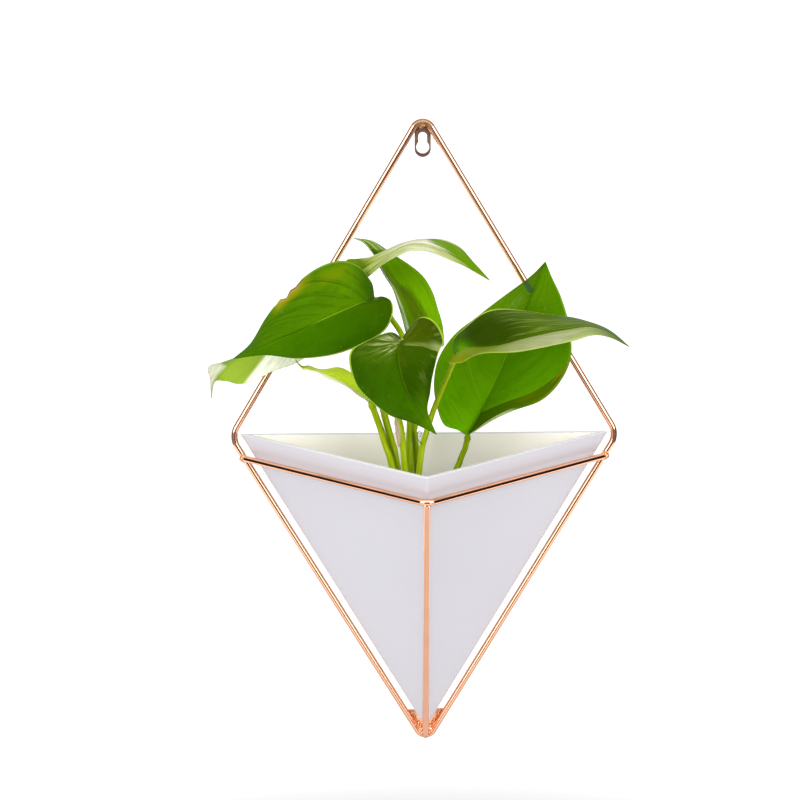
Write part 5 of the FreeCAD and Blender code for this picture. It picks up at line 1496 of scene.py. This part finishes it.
# ------------------------------------------------------------------ stage: pale floor
FLOOR_Z = -0.56
bm = bmesh.new()
bmesh.ops.create_circle(bm, cap_ends=True, cap_tris=True, segments=96, radius=0.74)
me = bpy.data.meshes.new("studio_floor")
bm.to_mesh(me)
bm.free()
me.transform(Matrix.Translation((0, 0, FLOOR_Z)))
floor_mat, g, p = material("studio_floor")
pos = g.place()
g.put(p.inputs["Base Color"], g.mix(g.span(g.noise(pos, 1.4, 3.0, 0.5), 0.3, 0.7), (0.58, 0.58, 0.58), (0.56, 0.56, 0.56)))
g.put(p.inputs["Roughness"], g.span(g.noise(pos, 3.0, 2.0, 0.5), 0.3, 0.7, 0.85, 0.95))
p.inputs["Specular IOR Level"].default_value = 0.1
p.inputs["Emission Color"].default_value = (1.0, 1.0, 1.0, 1.0)
fx, fy, fz = g.xyz(pos)[:3]
# the floor gives off light of its own: weak under the planter, rising to nearly full strength towards its edge
far = g.math("SQRT", g.math("ADD", g.math("MULTIPLY", fx, fx), g.math("MULTIPLY", fy, fy)))
sweep = g.span(far, 0.32, 0.72, 0.03, 0.98)
g.put(p.inputs["Emission Strength"], sweep)
me.materials.append(floor_mat)
floor = bpy.data.objects.new("studio_floor", me)
scene.collection.objects.link(floor)

# ------------------------------------------------------------------ light
world = bpy.data.worlds.new("studio")
scene.world = world
world.use_nodes = True
g = Net(world.node_tree)
bg = world.node_tree.nodes["Background"]
d = g.node("ShaderNodeTexCoord").outputs["Generated"]
x, y, z = g.xyz(g.vmath("NORMALIZE", d))[:3]
# white tent: lighter above, dimmer below in front, with a dark gap at either side and one round the camera
high = g.span(z, 0.35, 0.72, 0.68, 1.05)
low = g.mixf(g.span(y, -0.15, 0.15), g.span(x, -0.5, 0.5, 0.38, 0.22), g.span(x, -0.5, 0.5, 0.80, 0.36))
tent = g.mixf(g.span(z, -0.02, 0.06), low, high)
gap = g.math("MULTIPLY", g.span(y, -0.36, -0.24), g.span(y, 0.40, 0.06))
gap = g.math("MULTIPLY", gap, g.span(g.math("ABSOLUTE", z), 0.56, 0.44))
front = g.span(g.vmath("DOT_PRODUCT", g.vmath("NORMALIZE", d), tuple(Vector((0, -0.985, 0.03)).normalized())), 0.93, 0.975)
dark = g.math("MAXIMUM", gap, g.math("MULTIPLY", front, 0.9))
light = g.math("MULTIPLY", tent, g.math("SUBTRACT", 1.0, g.math("MULTIPLY", dark, 0.97)))
ray = g.node("ShaderNodeLightPath").outputs["Is Camera Ray"]
g.put(bg.inputs["Color"], (1.0, 1.0, 1.0))
g.put(bg.inputs["Strength"], g.mixf(ray, light, 1.3))


def area(name, where, at, w, h, radiance, col=(1, 1, 1)):
    li = bpy.data.lights.new(name, "AREA")
    li.shape = "RECTANGLE"
    li.size, li.size_y = w, h
    li.energy = radiance * math.pi * w * h
    li.color = col
    ob = bpy.data.objects.new(name, li)
    ob.location = where
    ob.rotation_euler = (Vector(at) - Vector(where)).to_track_quat("-Z", "Y").to_euler()
    ob.visible_camera = False
    scene.collection.objects.link(ob)
    return ob


mid_pt = (0, -0.05, -0.17)
area("softbox_front", (0.0, -1.35, 1.30), mid_pt, 1.5, 0.9, 2.5)
area("softbox_left", (-1.15, -1.29, 0.28), mid_pt, 1.05, 1.20, 4.5)
area("softbox_right", (1.15, -1.29, 0.28), mid_pt, 1.05, 1.20, 4.5)

# ------------------------------------------------------------------ camera
cam = bpy.data.cameras.new("camera")
cam.sensor_width = 36.0
cam.lens = 126.67
cam.clip_start, cam.clip_end = 0.05, 60.0
cam_ob = bpy.data.objects.new("camera", cam)
scene.collection.objects.link(cam_ob)
eye = Vector((-0.02193, -1.59820, 0.21437))
az, el, roll = math.radians(-0.288), math.radians(12.777), math.radians(-0.38)
look = Vector((math.sin(-az) * math.cos(el), math.cos(az) * math.cos(el), -math.sin(el))).normalized()
right = look.cross(Vector((0, 0, 1))).normalized()
upv = right.cross(look)
right2 = right * math.cos(roll) + upv * math.sin(roll)
up2 = -right * math.sin(roll) + upv * math.cos(roll)
m = Matrix.Identity(4)
for i in range(3):
    m[i][0], m[i][1], m[i][2], m[i][3] = right2[i], up2[i], -look[i], eye[i]
cam_ob.matrix_world = m
scene.camera = cam_ob
